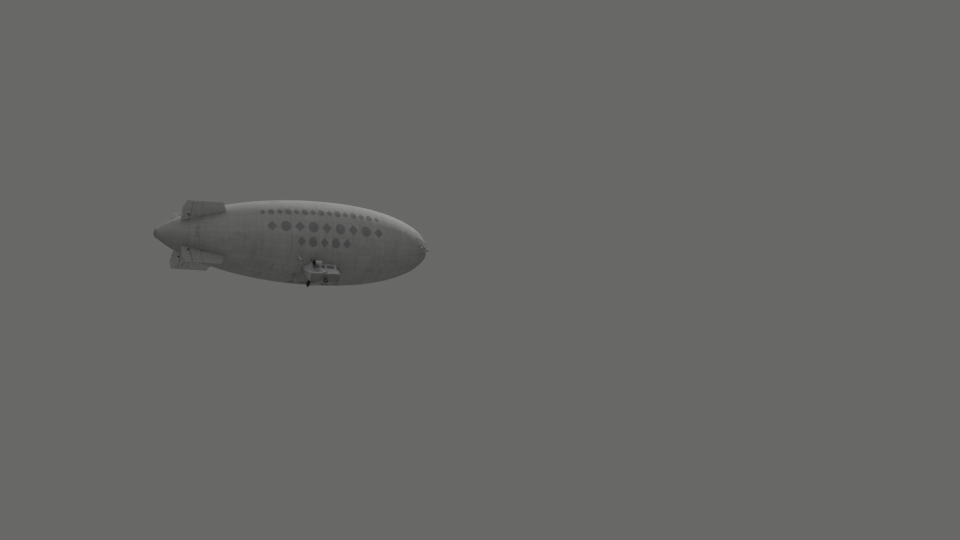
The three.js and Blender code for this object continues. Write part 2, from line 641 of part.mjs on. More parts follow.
// The rail that the ground crew hold, round the bottom of the car.
function railSolid() {
  const out = CAR.halfWidth + RAIL.out;
  const z = CAR.bottom - RAIL.below;
  const under = CAR.bottom - SEAT;
  const half = [
    [RAIL.start, out - RAIL.startIn, CAR.bottom - RAIL.startBelow], [RAIL.bend, out, z],
    ...RAIL.footStations.map((x) => [x, out, z]), [CAR.noseStart, out, z],
    [CAR.noseStart + RAIL.noseAhead, out * RAIL.noseOut, z],
  ];
  const mirrored = half.map(([x, y, height]) => [x, -y, height]).reverse();
  const path = [...half, [CAR.front + RAIL.out, 0, z], ...mirrored];
  const feet = RAIL.footStations.flatMap((x) => [1, -1].flatMap((side) => {
    const y = side * RAIL.footY;
    return [
      rod([x, side * out, z], [x, y, under - RAIL.foot], RAIL.foot, 8),
      box([x - RAIL.pad, y - RAIL.pad, under - RAIL.padHeight], [x + RAIL.pad, y + RAIL.pad, under]),
    ];
  }));
  return join(tube(path, RAIL.radius, RAIL.steps, RAIL.sides), feet);
}

// Two treads below the door, hung from a pad under the floor.
function stepSolid() {
  const under = CAR.bottom - SEAT;
  const rodZ = under - STEP.drop;
  const treads = [STEP.upper, STEP.lower].map((top) => {
    return box([STEP.rear, STEP.outer, top - STEP.tread], [STEP.front, STEP.inner, top]);
  });
  const frames = STEP.hangers.flatMap((x) => [
    rod([x, STEP.hangerY, rodZ], [x, STEP.padTo, rodZ], STEP.rod, 8),
    rod([x, STEP.hangerY, STEP.lower], [x, STEP.hangerY, rodZ], STEP.hangerRadius, 8),
  ]);
  const pad = box(
    [STEP.rear + STEP.padInset, STEP.padFrom, under - STEP.padHeight],
    [STEP.front - STEP.padInset, STEP.padTo, under],
  );
  return join(treads, frames, pad);
}

function buildUnderside(parent) {
  addMesh(parent, "grab_rail", railSolid(), LOOK.aluminium);
  addMesh(parent, "boarding_step", stepSolid(), LOOK.aluminium);
}

function forkSolid() {
  const { x, trail, axleZ, housingBottom, crownHalf, legOut, leg, legFoot, legTip } = GEAR;
  const crownTop = housingBottom - GEAR.crownGap;
  const crownBottom = crownTop - GEAR.crown;
  const axleX = x - trail;
  const side = outline([
    [x + crownHalf, crownTop], [x - crownHalf, crownTop],
    [axleX - legFoot, axleZ], [axleX, axleZ - legTip], [axleX + legFoot, axleZ],
  ]);
  const legs = [1, -1].map((hand) => sidePrism(side, leg).translate([0, hand * (legOut + leg / 2), 0]));
  const axleEnd = legOut + GEAR.axleEnd;
  return join(
    rod([x, 0, crownBottom + 10], [x, 0, GEAR.stemTop], GEAR.stem, 24),
    box([x - crownHalf, -legOut - leg, crownBottom], [x + crownHalf, legOut + leg, crownTop]),
    legs, rod([axleX, -axleEnd, axleZ], [axleX, axleEnd, axleZ], GEAR.axle, 16),
  );
}

function buildGear(parent) {
  const { x, housingBottom, hub, hubHalf, rim, tyre, axleBore } = GEAR;
  const housing = cut(
    rod([x, 0, housingBottom], [x, 0, CAR.bottom - SEAT], GEAR.housingRadius, 24, GEAR.flange),
    rod([x, 0, housingBottom - 10], [x, 0, GEAR.boreTop], GEAR.stemBore, 24),
  );
  addMesh(parent, "gear_housing", housing, LOOK.paintwork);
  addMesh(parent, "gear_fork", forkSolid(), LOOK.darkMetal);

  // Half profiles of [distance from the wheel's middle, radius], mirrored to both sides
  const both = (half) => {
    const mirrored = half.map(([y, radius]) => [-y, radius]).reverse();
    return turned([...half, ...mirrored, half[0]], GEAR.sides);
  };
  const wheel = new THREE.Group();
  wheel.position.set(x - GEAR.trail, 0, GEAR.axleZ);
  wheel.rotation.z = Math.PI / 2;
  const rimHalf = [
    [-hubHalf, axleBore], [-hubHalf, hub], [-hubHalf + 70, hub + 10], [-hubHalf + 80, rim - 30], [-70, rim],
  ];
  addMesh(wheel, "wheel_rim", both(rimHalf), LOOK.aluminium);
  const half = GEAR.tyreWidth / 2;
  const tyreHalf = [
    [-70, rim + SEAT], [-half, rim + 50], [-half + 8, tyre - 32], [-half / 2, tyre - 6], [-4, tyre],
  ];
  addMesh(wheel, "tyre", both(tyreHalf), LOOK.rubber);
  parent.add(wheel);
}

// Engines, built about the propeller's axis with the nacelle's rear face at x = 0
function nacelleSolid() {
  const r = ENGINE.nacelle;
  return turned([
    [0, 0], [0, 0.9 * r], [120, r], [650, r], [800, 0.9 * r], [900, 0.7 * r], [970, 0.42 * r], [1000, 0],
  ], ENGINE.sides);
}

// One finned cylinder, pointing away from the axis at an angle from the top.
function cylinderSolid(turn) {
  const { foot, barrel, fin, finThickness, head, headRadius, top, topRadius } = CYLINDER;
  const fins = CYLINDER.fins.flatMap((at) => [
    [at, barrel], [at, fin], [at + finThickness, fin], [at + finThickness, barrel],
  ]);
  const profile = [
    [foot, 0], [foot, barrel], ...fins, [head, barrel], [head, headRadius], [top, topRadius], [top, 0],
  ];
  return solid(lathe(profile, CYLINDER.sides).rotateX(Math.PI / 2 - turn).translate(CYLINDER.x, 0, 0));
}

function engineSolid() {
  const { caseRadius, flange, flangeDepth, caseEdge, caseShoulder, caseLength, caseNose } = ENGINE;
  const crankcase = turned([
    [-SEAT, 0], [-SEAT, flange], [-flangeDepth, flange], [-caseEdge, caseRadius],
    [-caseShoulder, caseRadius], [-caseLength, caseNose], [-caseLength, 0],
  ], ENGINE.sides);
  const { x, ring: radius, radius: thickness, sides, steps, pipe, pipeForward, pipeDown } = EXHAUST;
  const collector = new THREE.TorusGeometry(radius, thickness, sides, steps).rotateY(Math.PI / 2);
  const tailPipe = rod([x, 0, -radius], [pipeForward, 0, -pipeDown], pipe, 10);
  const bore = rod(
    [-caseLength - 10, 0, 0], [-caseLength + ENGINE.shaftDepth, 0, 0], ENGINE.shaftBore, ENGINE.sides,
  );
  const cylinders = ring(ENGINE.cylinders, cylinderSolid);
  return cut(join(crankcase, cylinders, solid(collector.translate(x, 0, 0)), tailPipe), bore);
}

// One blade along +Z: a lens section whose width, thickness and pitch change with the radius.
function bladeGeometry(hand) {
  const { radius, pitch, constantWithin, steps } = PROPELLER;
  const { rootHalf, bladeHalf, rootThick, tipThinner, tipTaper } = PROPELLER;
  const section = new THREE.Shape().absarc(0, 0, 1, 0, 2 * Math.PI);
  const options = { depth: radius, steps, curveSegments: 4, bevelEnabled: false };
  const geometry = new THREE.ExtrudeGeometry(section, options);
  const places = geometry.attributes.position;
  for (let i = 0; i < places.count; i += 1) {
    const distance = places.getZ(i);
    const part = distance / radius;
    const taper = Math.sqrt(1 - tipTaper * part ** 8);
    const across = places.getX(i) * taper * (rootHalf + bladeHalf * Math.sin(Math.PI * part) ** 1.5);
    const through = places.getY(i) * (rootThick - tipThinner * part);
    const angle = Math.atan2(pitch, 2 * Math.PI * Math.max(distance, constantWithin));
    const x = across * hand * Math.sin(angle) + through * Math.cos(angle);
    const y = across * Math.cos(angle) - through * hand * Math.sin(angle);
    places.setXYZ(i, x, y, distance);
  }
  return geometry;
}

function propellerSolid(hand) {
  const { behindCase, hub, hubBack, hubGap, spinner, spinnerTip, spinnerEnd, sides } = PROPELLER;
  const { caseLength, shaft, shaftInto } = ENGINE;
  const x = -caseLength - behindCase;
  const blades = ring(2, (turn) => solid(bladeGeometry(hand).rotateX(turn).translate(x, 0, 0)));
  return join(
    blades, rod([x - hubBack, 0, 0], [-caseLength - hubGap, 0, 0], hub, sides),
    rod([x - hubBack, 0, 0], [x - spinnerEnd, 0, 0], spinner, sides, spinnerTip),
    rod([x, 0, 0], [-caseLength + shaftInto, 0, 0], shaft, ENGINE.sides),
  );
}

// Two collars round the nacelle, each held by two struts from plates on the car's side.
function outriggerSolid(side) {
  const { x, y, z, nacelle } = ENGINE;
  const { frames, collar, strut, strutEnd, across, along, plate, plateHalf, plateRun } = OUTRIGGER;
  const wallY = CAR.halfWidth + SEAT;
  const stations = frames.map(([from, to]) => [x + from, x + to]);
  const collars = stations.map(([from, to]) => {
    const inner = nacelle + SEAT;
    const outer = nacelle + collar;
    return turned([[from, inner], [from, outer], [to, outer], [to, inner], [from, inner]], ENGINE.sides)
      .translate([0, y, z]);
  });
  const reach = nacelle + strutEnd;
  const ends = [[OUTRIGGER.top, z + reach * along], [OUTRIGGER.bottom, z - reach * along]];
  const struts = stations.flatMap(([from, to]) => ends.map(([wallZ, nacelleZ]) => {
    const at = (from + to) / 2;
    return rod([at, wallY + OUTRIGGER.wallReach, wallZ], [at, y - reach * across, nacelleZ], strut, 10);
  }));
  const [start, end] = [stations[0][0], stations[1][1]];
  const braceY = y - nacelle - OUTRIGGER.braceGap;
  const brace = rod([start + plateRun, braceY, z], [end - plateRun, braceY, z], OUTRIGGER.brace, 8);
  const plates = [OUTRIGGER.top, OUTRIGGER.bottom].map((height) => box(
    [start - plateRun, wallY, height - plateHalf], [end + plateRun, wallY + plate, height + plateHalf],
  ));
  const nacelleSeat = rod([x, y, z], [end + strut, y, z], nacelle + SEAT, ENGINE.sides);
  const built = join(collars, cut(join(struts, brace), nacelleSeat), plates);
  const made = cut(built, box([-FAR, -FAR, -FAR], [FAR, wallY, FAR]));
  return side > 0 ? made : made.mirror([0, 1, 0]);
}

function buildEngines(parent) {
  for (const [name, side] of [["port", 1], ["starboard", -1]]) {
    const group = new THREE.Group();
    group.position.set(ENGINE.x, side * ENGINE.y, ENGINE.z);
    addMesh(group, `${name}_nacelle`, nacelleSolid(), LOOK.paintwork);
    addMesh(group, `${name}_engine`, engineSolid(), LOOK.darkMetal);
    addMesh(group, `${name}_propeller`, propellerSolid(side), LOOK.wood);
    parent.add(group);
    addMesh(parent, `${name}_outrigger`, outriggerSolid(side), LOOK.aluminium);
  }
}

// Hull fittings
function buildFittings(parent) {
  for (const [name, side] of [["port", 1], ["starboard", -1]]) {
    const path = SCOOP.path.map(([x, y, z]) => [x, side * y, z]);
    const scoop = tube(path, SCOOP.radius, SCOOP.steps, SCOOP.sides);
    addMesh(parent, `${name}_air_scoop`, cut(scoop, hullSeat), LOOK.dope);
  }
  for (const [name, station, bearing, radius, height] of VALVES) {
    const angle = THREE.MathUtils.degToRad(bearing);
    const point = (distance) => [stationX(station), distance * Math.sin(angle), distance * Math.cos(angle)];
    const surface = hullRadius(station);
    const drum = rod(point(surface - VALVE.sunk), point(surface + height), radius, VALVE.sides);
    const capTop = point(surface + height + VALVE.capHeight);
    const cap = rod(point(surface), capTop, radius * VALVE.cap, VALVE.sides);
    addMesh(parent, name, cut(join(drum, cap), hullSeat), LOOK.aluminium);
  }
}

const airship = new THREE.Group();
for (const build of [
  buildEnvelope, buildNose, buildTail, buildStays, buildCabin, buildDoor, buildInterior,
  buildUnderside, buildGear, buildEngines, buildFittings,
]) build(airship);

export default airship;
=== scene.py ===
"""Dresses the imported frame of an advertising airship: skin, tail, car, engines, landing gear and rigging.

Metres. +X points to the nose, +Y to port and +Z up. The origin is the centre of lift on the hull's
axis. A "station" is a distance behind the nose tip, measured along the axis.
"""

import json
from functools import partialmethod
from math import atan2, copysign, cos, hypot, pi, radians, sin, sqrt

import bmesh
import bpy
from bpy.props import FloatProperty, FloatVectorProperty, IntProperty, PointerProperty
from bpy.types import Operator, Panel, PropertyGroup
from mathutils import Matrix, Vector
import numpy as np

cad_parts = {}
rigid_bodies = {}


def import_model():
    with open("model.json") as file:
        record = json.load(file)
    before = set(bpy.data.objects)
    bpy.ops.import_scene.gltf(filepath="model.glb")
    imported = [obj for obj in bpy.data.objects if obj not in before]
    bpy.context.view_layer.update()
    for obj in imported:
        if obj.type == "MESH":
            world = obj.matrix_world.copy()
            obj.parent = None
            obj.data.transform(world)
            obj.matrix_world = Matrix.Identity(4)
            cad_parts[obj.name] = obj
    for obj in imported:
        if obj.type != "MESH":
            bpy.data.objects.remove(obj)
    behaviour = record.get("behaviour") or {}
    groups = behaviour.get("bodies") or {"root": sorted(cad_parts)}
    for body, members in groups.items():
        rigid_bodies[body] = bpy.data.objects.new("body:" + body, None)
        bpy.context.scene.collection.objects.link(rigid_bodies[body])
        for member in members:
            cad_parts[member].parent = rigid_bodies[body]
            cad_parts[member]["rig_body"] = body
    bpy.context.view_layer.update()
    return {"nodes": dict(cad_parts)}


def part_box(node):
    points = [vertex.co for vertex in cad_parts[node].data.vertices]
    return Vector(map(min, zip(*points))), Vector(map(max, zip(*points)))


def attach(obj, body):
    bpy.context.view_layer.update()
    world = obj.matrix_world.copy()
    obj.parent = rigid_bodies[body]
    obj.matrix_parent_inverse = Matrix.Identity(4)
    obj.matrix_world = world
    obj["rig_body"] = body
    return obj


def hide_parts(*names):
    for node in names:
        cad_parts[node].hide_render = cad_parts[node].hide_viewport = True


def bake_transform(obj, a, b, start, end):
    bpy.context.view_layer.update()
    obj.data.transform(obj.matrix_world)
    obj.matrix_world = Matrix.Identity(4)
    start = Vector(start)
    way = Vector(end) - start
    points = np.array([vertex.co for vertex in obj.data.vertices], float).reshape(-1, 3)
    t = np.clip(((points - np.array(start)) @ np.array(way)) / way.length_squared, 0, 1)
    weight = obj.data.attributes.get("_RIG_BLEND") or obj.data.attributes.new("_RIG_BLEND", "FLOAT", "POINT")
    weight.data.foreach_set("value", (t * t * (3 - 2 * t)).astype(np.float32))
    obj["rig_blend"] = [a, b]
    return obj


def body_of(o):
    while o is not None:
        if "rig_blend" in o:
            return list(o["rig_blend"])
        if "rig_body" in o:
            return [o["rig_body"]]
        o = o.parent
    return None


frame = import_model()

bl_info = {
    "name": "Advertising Airship",
    "version": (1, 0, 0),
    "blender": (4, 5, 0),
    "location": "View3D > Sidebar > Airship",
    "description": "Builds the skin, tail, car, engines, gear and rigging of an advertising airship",
    "category": "Object",
}

MERGE = 1e-5  # points closer than this are one point
LIFT_STATION = 18.0  # distance of the origin behind the nose tip
TAIL_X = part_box("envelope")[0].x
CAR_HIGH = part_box("car_roof")[1]

# The four fins, as found in the frame
FINS = (
    # fixed fin, moving surface, body of the moving surface, turn about X in degrees
    ("top_fin", "upper_rudder", "upper_rudder_body", 0),
    ("port_fin", "port_elevator", "port_elevator_body", -90),
    ("bottom_fin", "lower_rudder", "lower_rudder_body", 180),
    ("starboard_fin", "starboard_elevator", "starboard_elevator_body", 90),
)
SIDES = (("port", 1), ("starboard", -1))
X, Y, Z = (Vector(axis) for axis in Matrix.Identity(3))

# The record's slot for each finish
SLOTS = {
    "hull": "envelope_fabric", "level_fin": "fin_fabric", "upright_fin": "fin_fabric", "sheet": "car_sheet",
    "alloy": "alloy_tube", "dull_alloy": "alloy_tube", "steel": "dark_steel", "exhaust": "dark_steel",
    "engine": "engine_metal", "wire": "rigging_wire", "wood": "varnished_wood", "leather": "seat_leather",
    "rubber": "tyre_rubber", "glass": "car_glass", "red_lamp": "car_glass", "green_lamp": "car_glass",
    "clear_lamp": "car_glass",
}
LOOK = {}  # the finishes, filled by mix_looks()
move = Matrix.Translation


# Settings
def setting(kind, **limits):
    """Makes settings of one kind from a label, a default and a description."""

    def make(name, default, description):
        return kind(name=name, default=default, description=description, **limits)

    return make


metres = setting(FloatProperty, unit="LENGTH")
number = setting(FloatProperty)
count = setting(IntProperty, min=1)
angle = setting(FloatProperty, subtype="ANGLE")
colour = setting(FloatVectorProperty, size=3, min=0, max=1, subtype="COLOR")
focal_length = setting(FloatProperty, unit="CAMERA")


class AirshipHull(PropertyGroup):
    length: metres("Length", LIFT_STATION - TAIL_X, "Nose tip to tail tip")
    lift: metres("Lift station", LIFT_STATION, "Distance of the origin behind the nose tip")
    radius: metres("Radius", 5.65, "Largest radius of the hull")
    widest: metres("Widest station", 16.4, "Station of the largest radius")
    nose_shape: number("Nose shape", 2.2, "Power that rounds the fore body")
    tail_shape: number("Tail shape", 2.0, "Power that draws in the after body")
    tail_power: number("Tail power", 0.7, "Fullness of the tail tip")
    stern_radius: metres("Stern radius", 0.62, "Radius of the blunt stern")
    stern_depth: metres("Stern depth", 0.35, "Length of the stern's rounding")
    gores: count("Gores", 32, "Strips of fabric round the hull")
    gore_steps: count("Steps of a gore", 6, "Faces across one gore")
    fore_rings: count("Fore rings", 64, "Rings before the widest station")
    aft_rings: count("Aft rings", 84, "Rings behind the widest station")
    crown: metres("Crown", 0.012, "How far a gore swells between its seams")
    panel: metres("Panel length", 1.9, "Spacing of the cross seams")
    tape: metres("Tape", 0.055, "Width of the seam tapes")


class AirshipNose(PropertyGroup):
    battens: count("Battens", 16, "Battens that stiffen the nose")
    length: metres("Batten length", 2.6, "Station where the battens end")
    width: metres("Batten width", 0.05, "Width of a batten")
    height: metres("Batten height", 0.025, "How far a batten stands off the hull")


class AirshipTail(PropertyGroup):
    thickness: metres("Thickness", 0.18, "Thickness of the fins")
    bevel: metres("Edge", 0.35, "Width of the rounded edge")
    root_front: metres("Root front", 29.2, "Station of the front edge at the root height")
    root_height: metres("Root height", 4.35, "Height at which the front edge meets the hull")
    sweep: number("Sweep", 0.55, "Backward slope of the front edge")
    hinge: metres("Hinge station", 34.0, "Station of the hinge line")
    hinge_gap: metres("Hinge gap", 0.014, "Gap between fin and moving surface")
    root_gap: metres("Root gap", 0.04, "Gap between a moving surface and the hull")
    tip_rear: metres("Tip rear", 34.75, "Station of the rear corner at the tip")
    bulge: metres("Bulge", 35.2, "Station of the rearmost point")
    bulge_drop: metres("Bulge drop", 1.1, "Distance of the rearmost point below the tip")
    root_rear: metres("Root rear", 35.0, "Station of the rear edge at two metres height")
    bays: count("Rib bays", 7, "Bays between the ribs of a fin")
    spars: count("Spar bays", 4, "Bays between the spars of a fin")
    sag: metres("Sag", 0.012, "How far the cloth pulls in between the ribs")
    horn: metres("Horn reach", 0.42, "Reach of the control horn to each side")
    wire: metres("Wire radius", 0.007, "Radius of a stay wire")


class AirshipCar(PropertyGroup):
    front: metres("Front", CAR_HIGH.x, "Front end of the car")
    nose_start: metres("Nose start", 3.3, "Where the rounded nose of the car starts")
    half_width: metres("Half width", CAR_HIGH.y, "Half the width of the car")
    wall: metres("Wall", 0.04, "Thickness of the car's wall")
    bottom: metres("Bottom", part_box("car_floor")[0].z, "Underside of the car")
    top: metres("Top", CAR_HIGH.z, "Top of the car")
    sill: metres("Sill", -6.65, "Lower edge of the windows")
    lintel: metres("Lintel", -5.95, "Upper edge of the windows")
    frame: metres("Window frame", 0.035, "Width of a window frame")
    bevel: metres("Edge", 0.008, "Rounding of the panel edges")
    lamp: metres("Lamp height", -7.12, "Height of the landing lamp")
    rail_foot: metres("Rail foot", 0.43, "Distance of the rail's feet from the middle")


class AirshipEngine(PropertyGroup):
    cylinders: count("Cylinders", 7, "Cylinders of one engine")
    cooling_fins: count("Cooling fins", 13, "Cooling fins on one cylinder")
    reach: metres("Reach", 0.44, "Radius at the cylinder heads")
    cylinder_x: metres("Cylinder place", -0.15, "Cylinders behind the firewall")
    case: metres("Case radius", 0.19, "Radius of the crankcase")
    case_length: metres("Case length", 0.33, "Length of the crankcase")
    nacelle: metres("Nacelle radius", 0.29, "Largest radius of the nacelle")
    blade: metres("Blade", 1.0, "Radius of the propeller")
    hub: metres("Hub place", -0.405, "Middle of the propeller behind the firewall")


class AirshipFinish(PropertyGroup):
    dope: colour("Dope", (0.485, 0.49, 0.48), "Silver dope on the hull")
    marks: colour("Marks", (0.24, 0.243, 0.248), "Faded paint of the marks on the hull")
    # Dirt on the cloth and the fins; under the car the same colour is painted shade.
    grime: colour("Grime", (0.15, 0.147, 0.14), "Dirt on the cloth")
    # Painted light and shade: the level fins take a lighter and the upright fins a darker copy of the same
    # silver dope.
    level_fins: colour("Level fins", (0.60, 0.605, 0.60), "Silver dope on the port and starboard fins")
    upright_fins: colour("Upright fins", (0.39, 0.395, 0.39), "Duller dope on the top and bottom fins")
    paint: colour("Car paint", (0.56, 0.57, 0.56), "Paint on the car and the nacelles")
    alloy: colour("Alloy", (0.55, 0.56, 0.57), "Bare alloy tubes and rings")
    steel: colour("Steel", (0.06, 0.062, 0.065), "Dark steel fittings")
    engine: colour("Engine", (0.09, 0.09, 0.095), "Cast engine metal")
    exhaust: colour("Exhaust", (0.13, 0.075, 0.05), "Burnt exhaust pipes")
    wood: colour("Wood", (0.20, 0.09, 0.035), "Varnished wood")
    leather: colour("Leather", (0.09, 0.04, 0.022), "Seat leather")
    rubber: colour("Rubber", (0.016, 0.016, 0.017), "Tyre rubber")
    glass: colour("Glass", (0.52, 0.56, 0.55), "Dusty window glass")


class AirshipStage(PropertyGroup):
    azimuth: angle("Azimuth", radians(27.26), "Bearing of the camera under the ship")
    elevation: angle("Elevation", radians(51.08), "How steeply the camera looks up")
    roll: angle("Roll", radians(-18.12), "Roll of the camera")
    distance: metres("Distance", 330.0, "Distance of the camera")
    lens: focal_length("Lens", 91.58, "Focal length")
    target_x: metres("Target", -1.5, "Point on the hull's axis that the framing is measured at")
    target_column: number("Target column", 289.7, "Pixel column of the target in the 960 by 540 frame")
    target_row: number("Target row", 241.7, "Pixel row of the target in the 960 by 540 frame")
    floor_radius: metres("Floor radius", 245.0, "Radius of the floor")
    floor: colour("Floor", (0.42, 0.42, 0.41), "Colour of the floor")
    sky: number("Sky", 0.141, "Brightness of the sky")
    ground: number("Ground", 0.10, "Brightness below the horizon")
    sun: number("Sun", 1.6, "Strength of the sun")
    fill: number("Fill", 0.5, "Strength of the soft light from starboard")


# Shapes
def hull_radius(hull, station):
    if station <= hull.widest:
        return hull.radius * sqrt(max(0, 1 - ((hull.widest - station) / hull.widest) ** hull.nose_shape))
    share = min((station - hull.widest) / (hull.length - hull.widest), 1)
    taper = hull.radius * (1 - share**hull.tail_shape) ** hull.tail_power
    closing = max(0, 1 - (hull.length - station) / hull.stern_depth)
    stern = hull.stern_radius * sqrt(max(0, 1 - closing**2))
    return (taper**4 + stern**4) ** (1 / 4)


def hull_point(hull, station, bearing, offset=0.0):
    """A point on the hull. The bearing is measured from the top towards port."""
    radius = hull_radius(hull, station) + offset
    return (hull.lift - station) * X + from_x(bearing, radius)


def mix(a, b, share):
    return a + (b - a) * share


def turns(number, start=0.0):
    """Angles that share out a full turn."""
    return [start + 2 * pi * i / number for i in range(number)]


def from_x(angle, reach=1.0):
    """A step out from an axis along X."""
    return Vector((0, reach * sin(angle), reach * cos(angle)))


def from_y(angle, reach=1.0):
    """A step out from an axis along Y."""
    return Vector((reach * cos(angle), 0, reach * sin(angle)))


def rotate(angle, axis):
    return Matrix.Rotation(angle, 4, axis)


def verts_of(made):
    return [part for part in made["geom"] if isinstance(part, bmesh.types.BMVert)]


def facing(direction):
    """A matrix that turns +Z to the direction."""
    return Vector(direction).to_track_quat("Z", "Y").to_matrix().to_4x4()


def round_edges(bm, edges, width, **limits):
    bmesh.ops.bevel(
        bm, geom=edges, offset=width, segments=2, affect="EDGES", profile=0.5, material=-1, **limits
    )


def block(bm, low, high, bevel=0.0, place=Matrix()):
    low, high = Vector(low), Vector(high)
    size = Matrix.Diagonal((*(high - low), 1))
    place = place @ move((low + high) / 2) @ size
    made = bmesh.ops.create_cube(bm, size=1, matrix=place)["verts"]
    if bevel:
        round_edges(bm, [e for e in bm.edges if e.verts[0] in made], bevel)


def rod(bm, start, end, radius, end_radius=None, sides=14):
    start, end = Vector(start), Vector(end)
    if end_radius is None:
        end_radius = radius
    bmesh.ops.create_cone(
        bm, cap_ends=True, segments=sides, radius1=radius, radius2=end_radius, depth=(end - start).length,
        matrix=move((start + end) / 2) @ facing(end - start),
    )


def bolts(bm, spots, out, radius):
    """Hexagonal heads that stand out from the spots."""
    for spot in spots:
        rod(bm, spot, Vector(spot) + out, radius, sides=6)


def ball(bm, centre, radius, sides=16):
    """A ball, or an egg where three radii are given."""
    radii = radius if isinstance(radius, tuple) else [radius] * 3
    size = Matrix.Diagonal((*radii, 1))
    bmesh.ops.create_uvsphere(
        bm, u_segments=sides, v_segments=sides // 2, radius=1, matrix=move(centre) @ size
    )


def spin(bm, geometry, centre, axis, steps):
    bmesh.ops.spin(bm, geom=geometry, cent=centre, axis=axis, angle=2 * pi, steps=steps, use_merge=True)


def lathe(bm, profile, origin=(0, 0, 0), axis=X, steps=32):
    """Spins a profile of (distance along the axis, radius) points about the axis."""
    place = move(origin) @ facing(axis)
    verts = [bm.verts.new(place @ Vector((radius, 0, along))) for along, radius in profile]
    edges = [bm.edges.new(pair) for pair in zip(verts, verts[1:])]
    spin(bm, verts + edges, origin, axis, steps)


def hoop(bm, centre, axis, radius, tube, steps=48, sides=10):
    place = move(centre) @ facing(axis) @ move((radius, 0, 0))
    place = place @ rotate(pi / 2, "X")
    circle = bmesh.ops.create_circle(bm, segments=sides, radius=tube, matrix=place)["verts"]
    edges = [e for e in bm.edges if e.verts[0] in circle and e.verts[1] in circle]
    spin(bm, circle + edges, centre, axis, steps)


def sweep(bm, places, outline):
    """Draws an outline of (x, y) points through a list of matrices and closes both ends."""
    ring = [bm.verts.new(places[0] @ Vector((x, y, 0))) for x, y in outline]
    first = edges = [bm.edges.new(pair) for pair in zip(ring, ring[1:] + ring[:1])]
    for last, place in zip(places, places[1:]):
        made = bmesh.ops.extrude_edge_only(bm, edges=edges)
        verts = verts_of(made)
        known = set(verts)
        edges = [part for part in made["geom"]
                 if isinstance(part, bmesh.types.BMEdge) and known.issuperset(part.verts)]
        bmesh.ops.transform(bm, matrix=place @ last.inverted(), verts=verts)
    bmesh.ops.edgeloop_fill(bm, edges=first)
    bmesh.ops.edgeloop_fill(bm, edges=edges)


def circle(radius, sides):
    return [(radius * cos(angle), radius * sin(angle)) for angle in turns(sides)]


def path_places(points):
    """Matrices that carry an outline along the points without a twist."""
    places, turn = [], None
    for i, point in enumerate(points):
        ahead = points[min(i + 1, len(points) - 1)] - points[max(i - 1, 0)]
        if turn is None:
            turn = ahead.to_track_quat("Z", "Y")
        else:
            turn = (turn @ Z).rotation_difference(ahead) @ turn
        places.append(move(point) @ turn.to_matrix().to_4x4())
    return places


def evenly(points, pitch):
    """Yields places at an even pitch along the points, each with the direction ahead."""
    reach = 0.0
    for start, end in zip(points, points[1:]):
        length = (end - start).length
        while reach < length:
            yield start.lerp(end, reach / length), (end - start).normalized()
            reach += pitch
        reach -= length


def pipe(bm, points, radius, sides=10):
    sweep(bm, path_places([Vector(p) for p in points]), circle(radius, sides))


def smooth_path(points, steps):
    """Points on a smooth curve through the given ones."""
    points = [Vector(p) for p in points]
    padded = [2 * points[0] - points[1], *points, 2 * points[-1] - points[-2]]
    made = []
    for a, b, c, d in zip(padded, padded[1:], padded[2:], padded[3:]):
        for i in range(steps):
            t = i / steps
            bent = 2 * b + (c - a) * t + (2 * a - 5 * b + 4 * c - d) * t**2
            made.append(0.5 * (bent + (3 * b - a - 3 * c + d) * t**3))
    return [*made, points[-1]]


def plate(bm, outline, thickness, place=Matrix()):
    """A flat plate with an outline of (x, y) points, centred on its plane."""
    face = bm.faces.new([bm.verts.new(place @ Vector((x, y, -thickness / 2))) for x, y in outline])
    made = bmesh.ops.extrude_face_region(bm, geom=[face])
    bmesh.ops.translate(bm, vec=place.to_3x3() @ (thickness * Z), verts=verts_of(made))


def new_object(name, data):
    made = bpy.data.objects.new(name, data)
    bpy.context.scene.collection.objects.link(made)
    return made


def piece(name, bm, look, stands_for=None, body="hull", slot=None, crease=35):
    """Turns a bmesh into a finished piece that rides on a body and may stand for a CAD node."""
    bmesh.ops.remove_doubles(bm, verts=bm.verts, dist=MERGE)
    bmesh.ops.recalc_face_normals(bm, faces=bm.faces)
    mesh = bpy.data.meshes.new(name)
    bm.to_mesh(mesh)
    bm.free()
    mesh.materials.append(LOOK[look])
    mesh.shade_smooth()
    mesh.set_sharp_from_angle(angle=radians(crease))
    made = new_object(name, mesh)
    if body:
        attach(made, body)
    slot or SLOTS[look]
    if stands_for:
        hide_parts(stands_for)
    return made


def carve(made, tool):
    """Cuts the tool's solids out of a piece."""
    cutter = bpy.data.meshes.new("cutter")
    bmesh.ops.recalc_face_normals(tool, faces=tool.faces)
    tool.to_mesh(cutter)
    tool.free()
    cutting = new_object("cutter", cutter)
    step = made.modifiers.new("Carve", "BOOLEAN")
    step.operation = "DIFFERENCE"
    step.solver = "EXACT"
    step.object = cutting
    bpy.context.view_layer.update()
    result = bpy.data.meshes.new_from_object(made.evaluated_get(bpy.context.evaluated_depsgraph_get()))
    made.modifiers.clear()
    made.data = result
    bpy.data.objects.remove(cutting)
    bpy.data.meshes.remove(cutter)


def dressed(node, name, look, bevel):
    """A merged copy of a CAD node, with its sharp edges rounded, that stands for the node."""
    bm = bmesh.new()
    bm.from_mesh(frame["nodes"][node].data)
    bmesh.ops.remove_doubles(bm, verts=bm.verts, dist=MERGE * 5)
    bmesh.ops.dissolve_limit(bm, angle_limit=radians(1), verts=bm.verts, edges=bm.edges)
    edges = [e for e in bm.edges if e.is_manifold and e.calc_face_angle(0) > radians(34)]
    round_edges(bm, edges, bevel, clamp_overlap=True)
    bmesh.ops.triangulate(bm, faces=bm.faces)
    return piece(name, bm, look, node, body=body_of(frame["nodes"][node])[0])


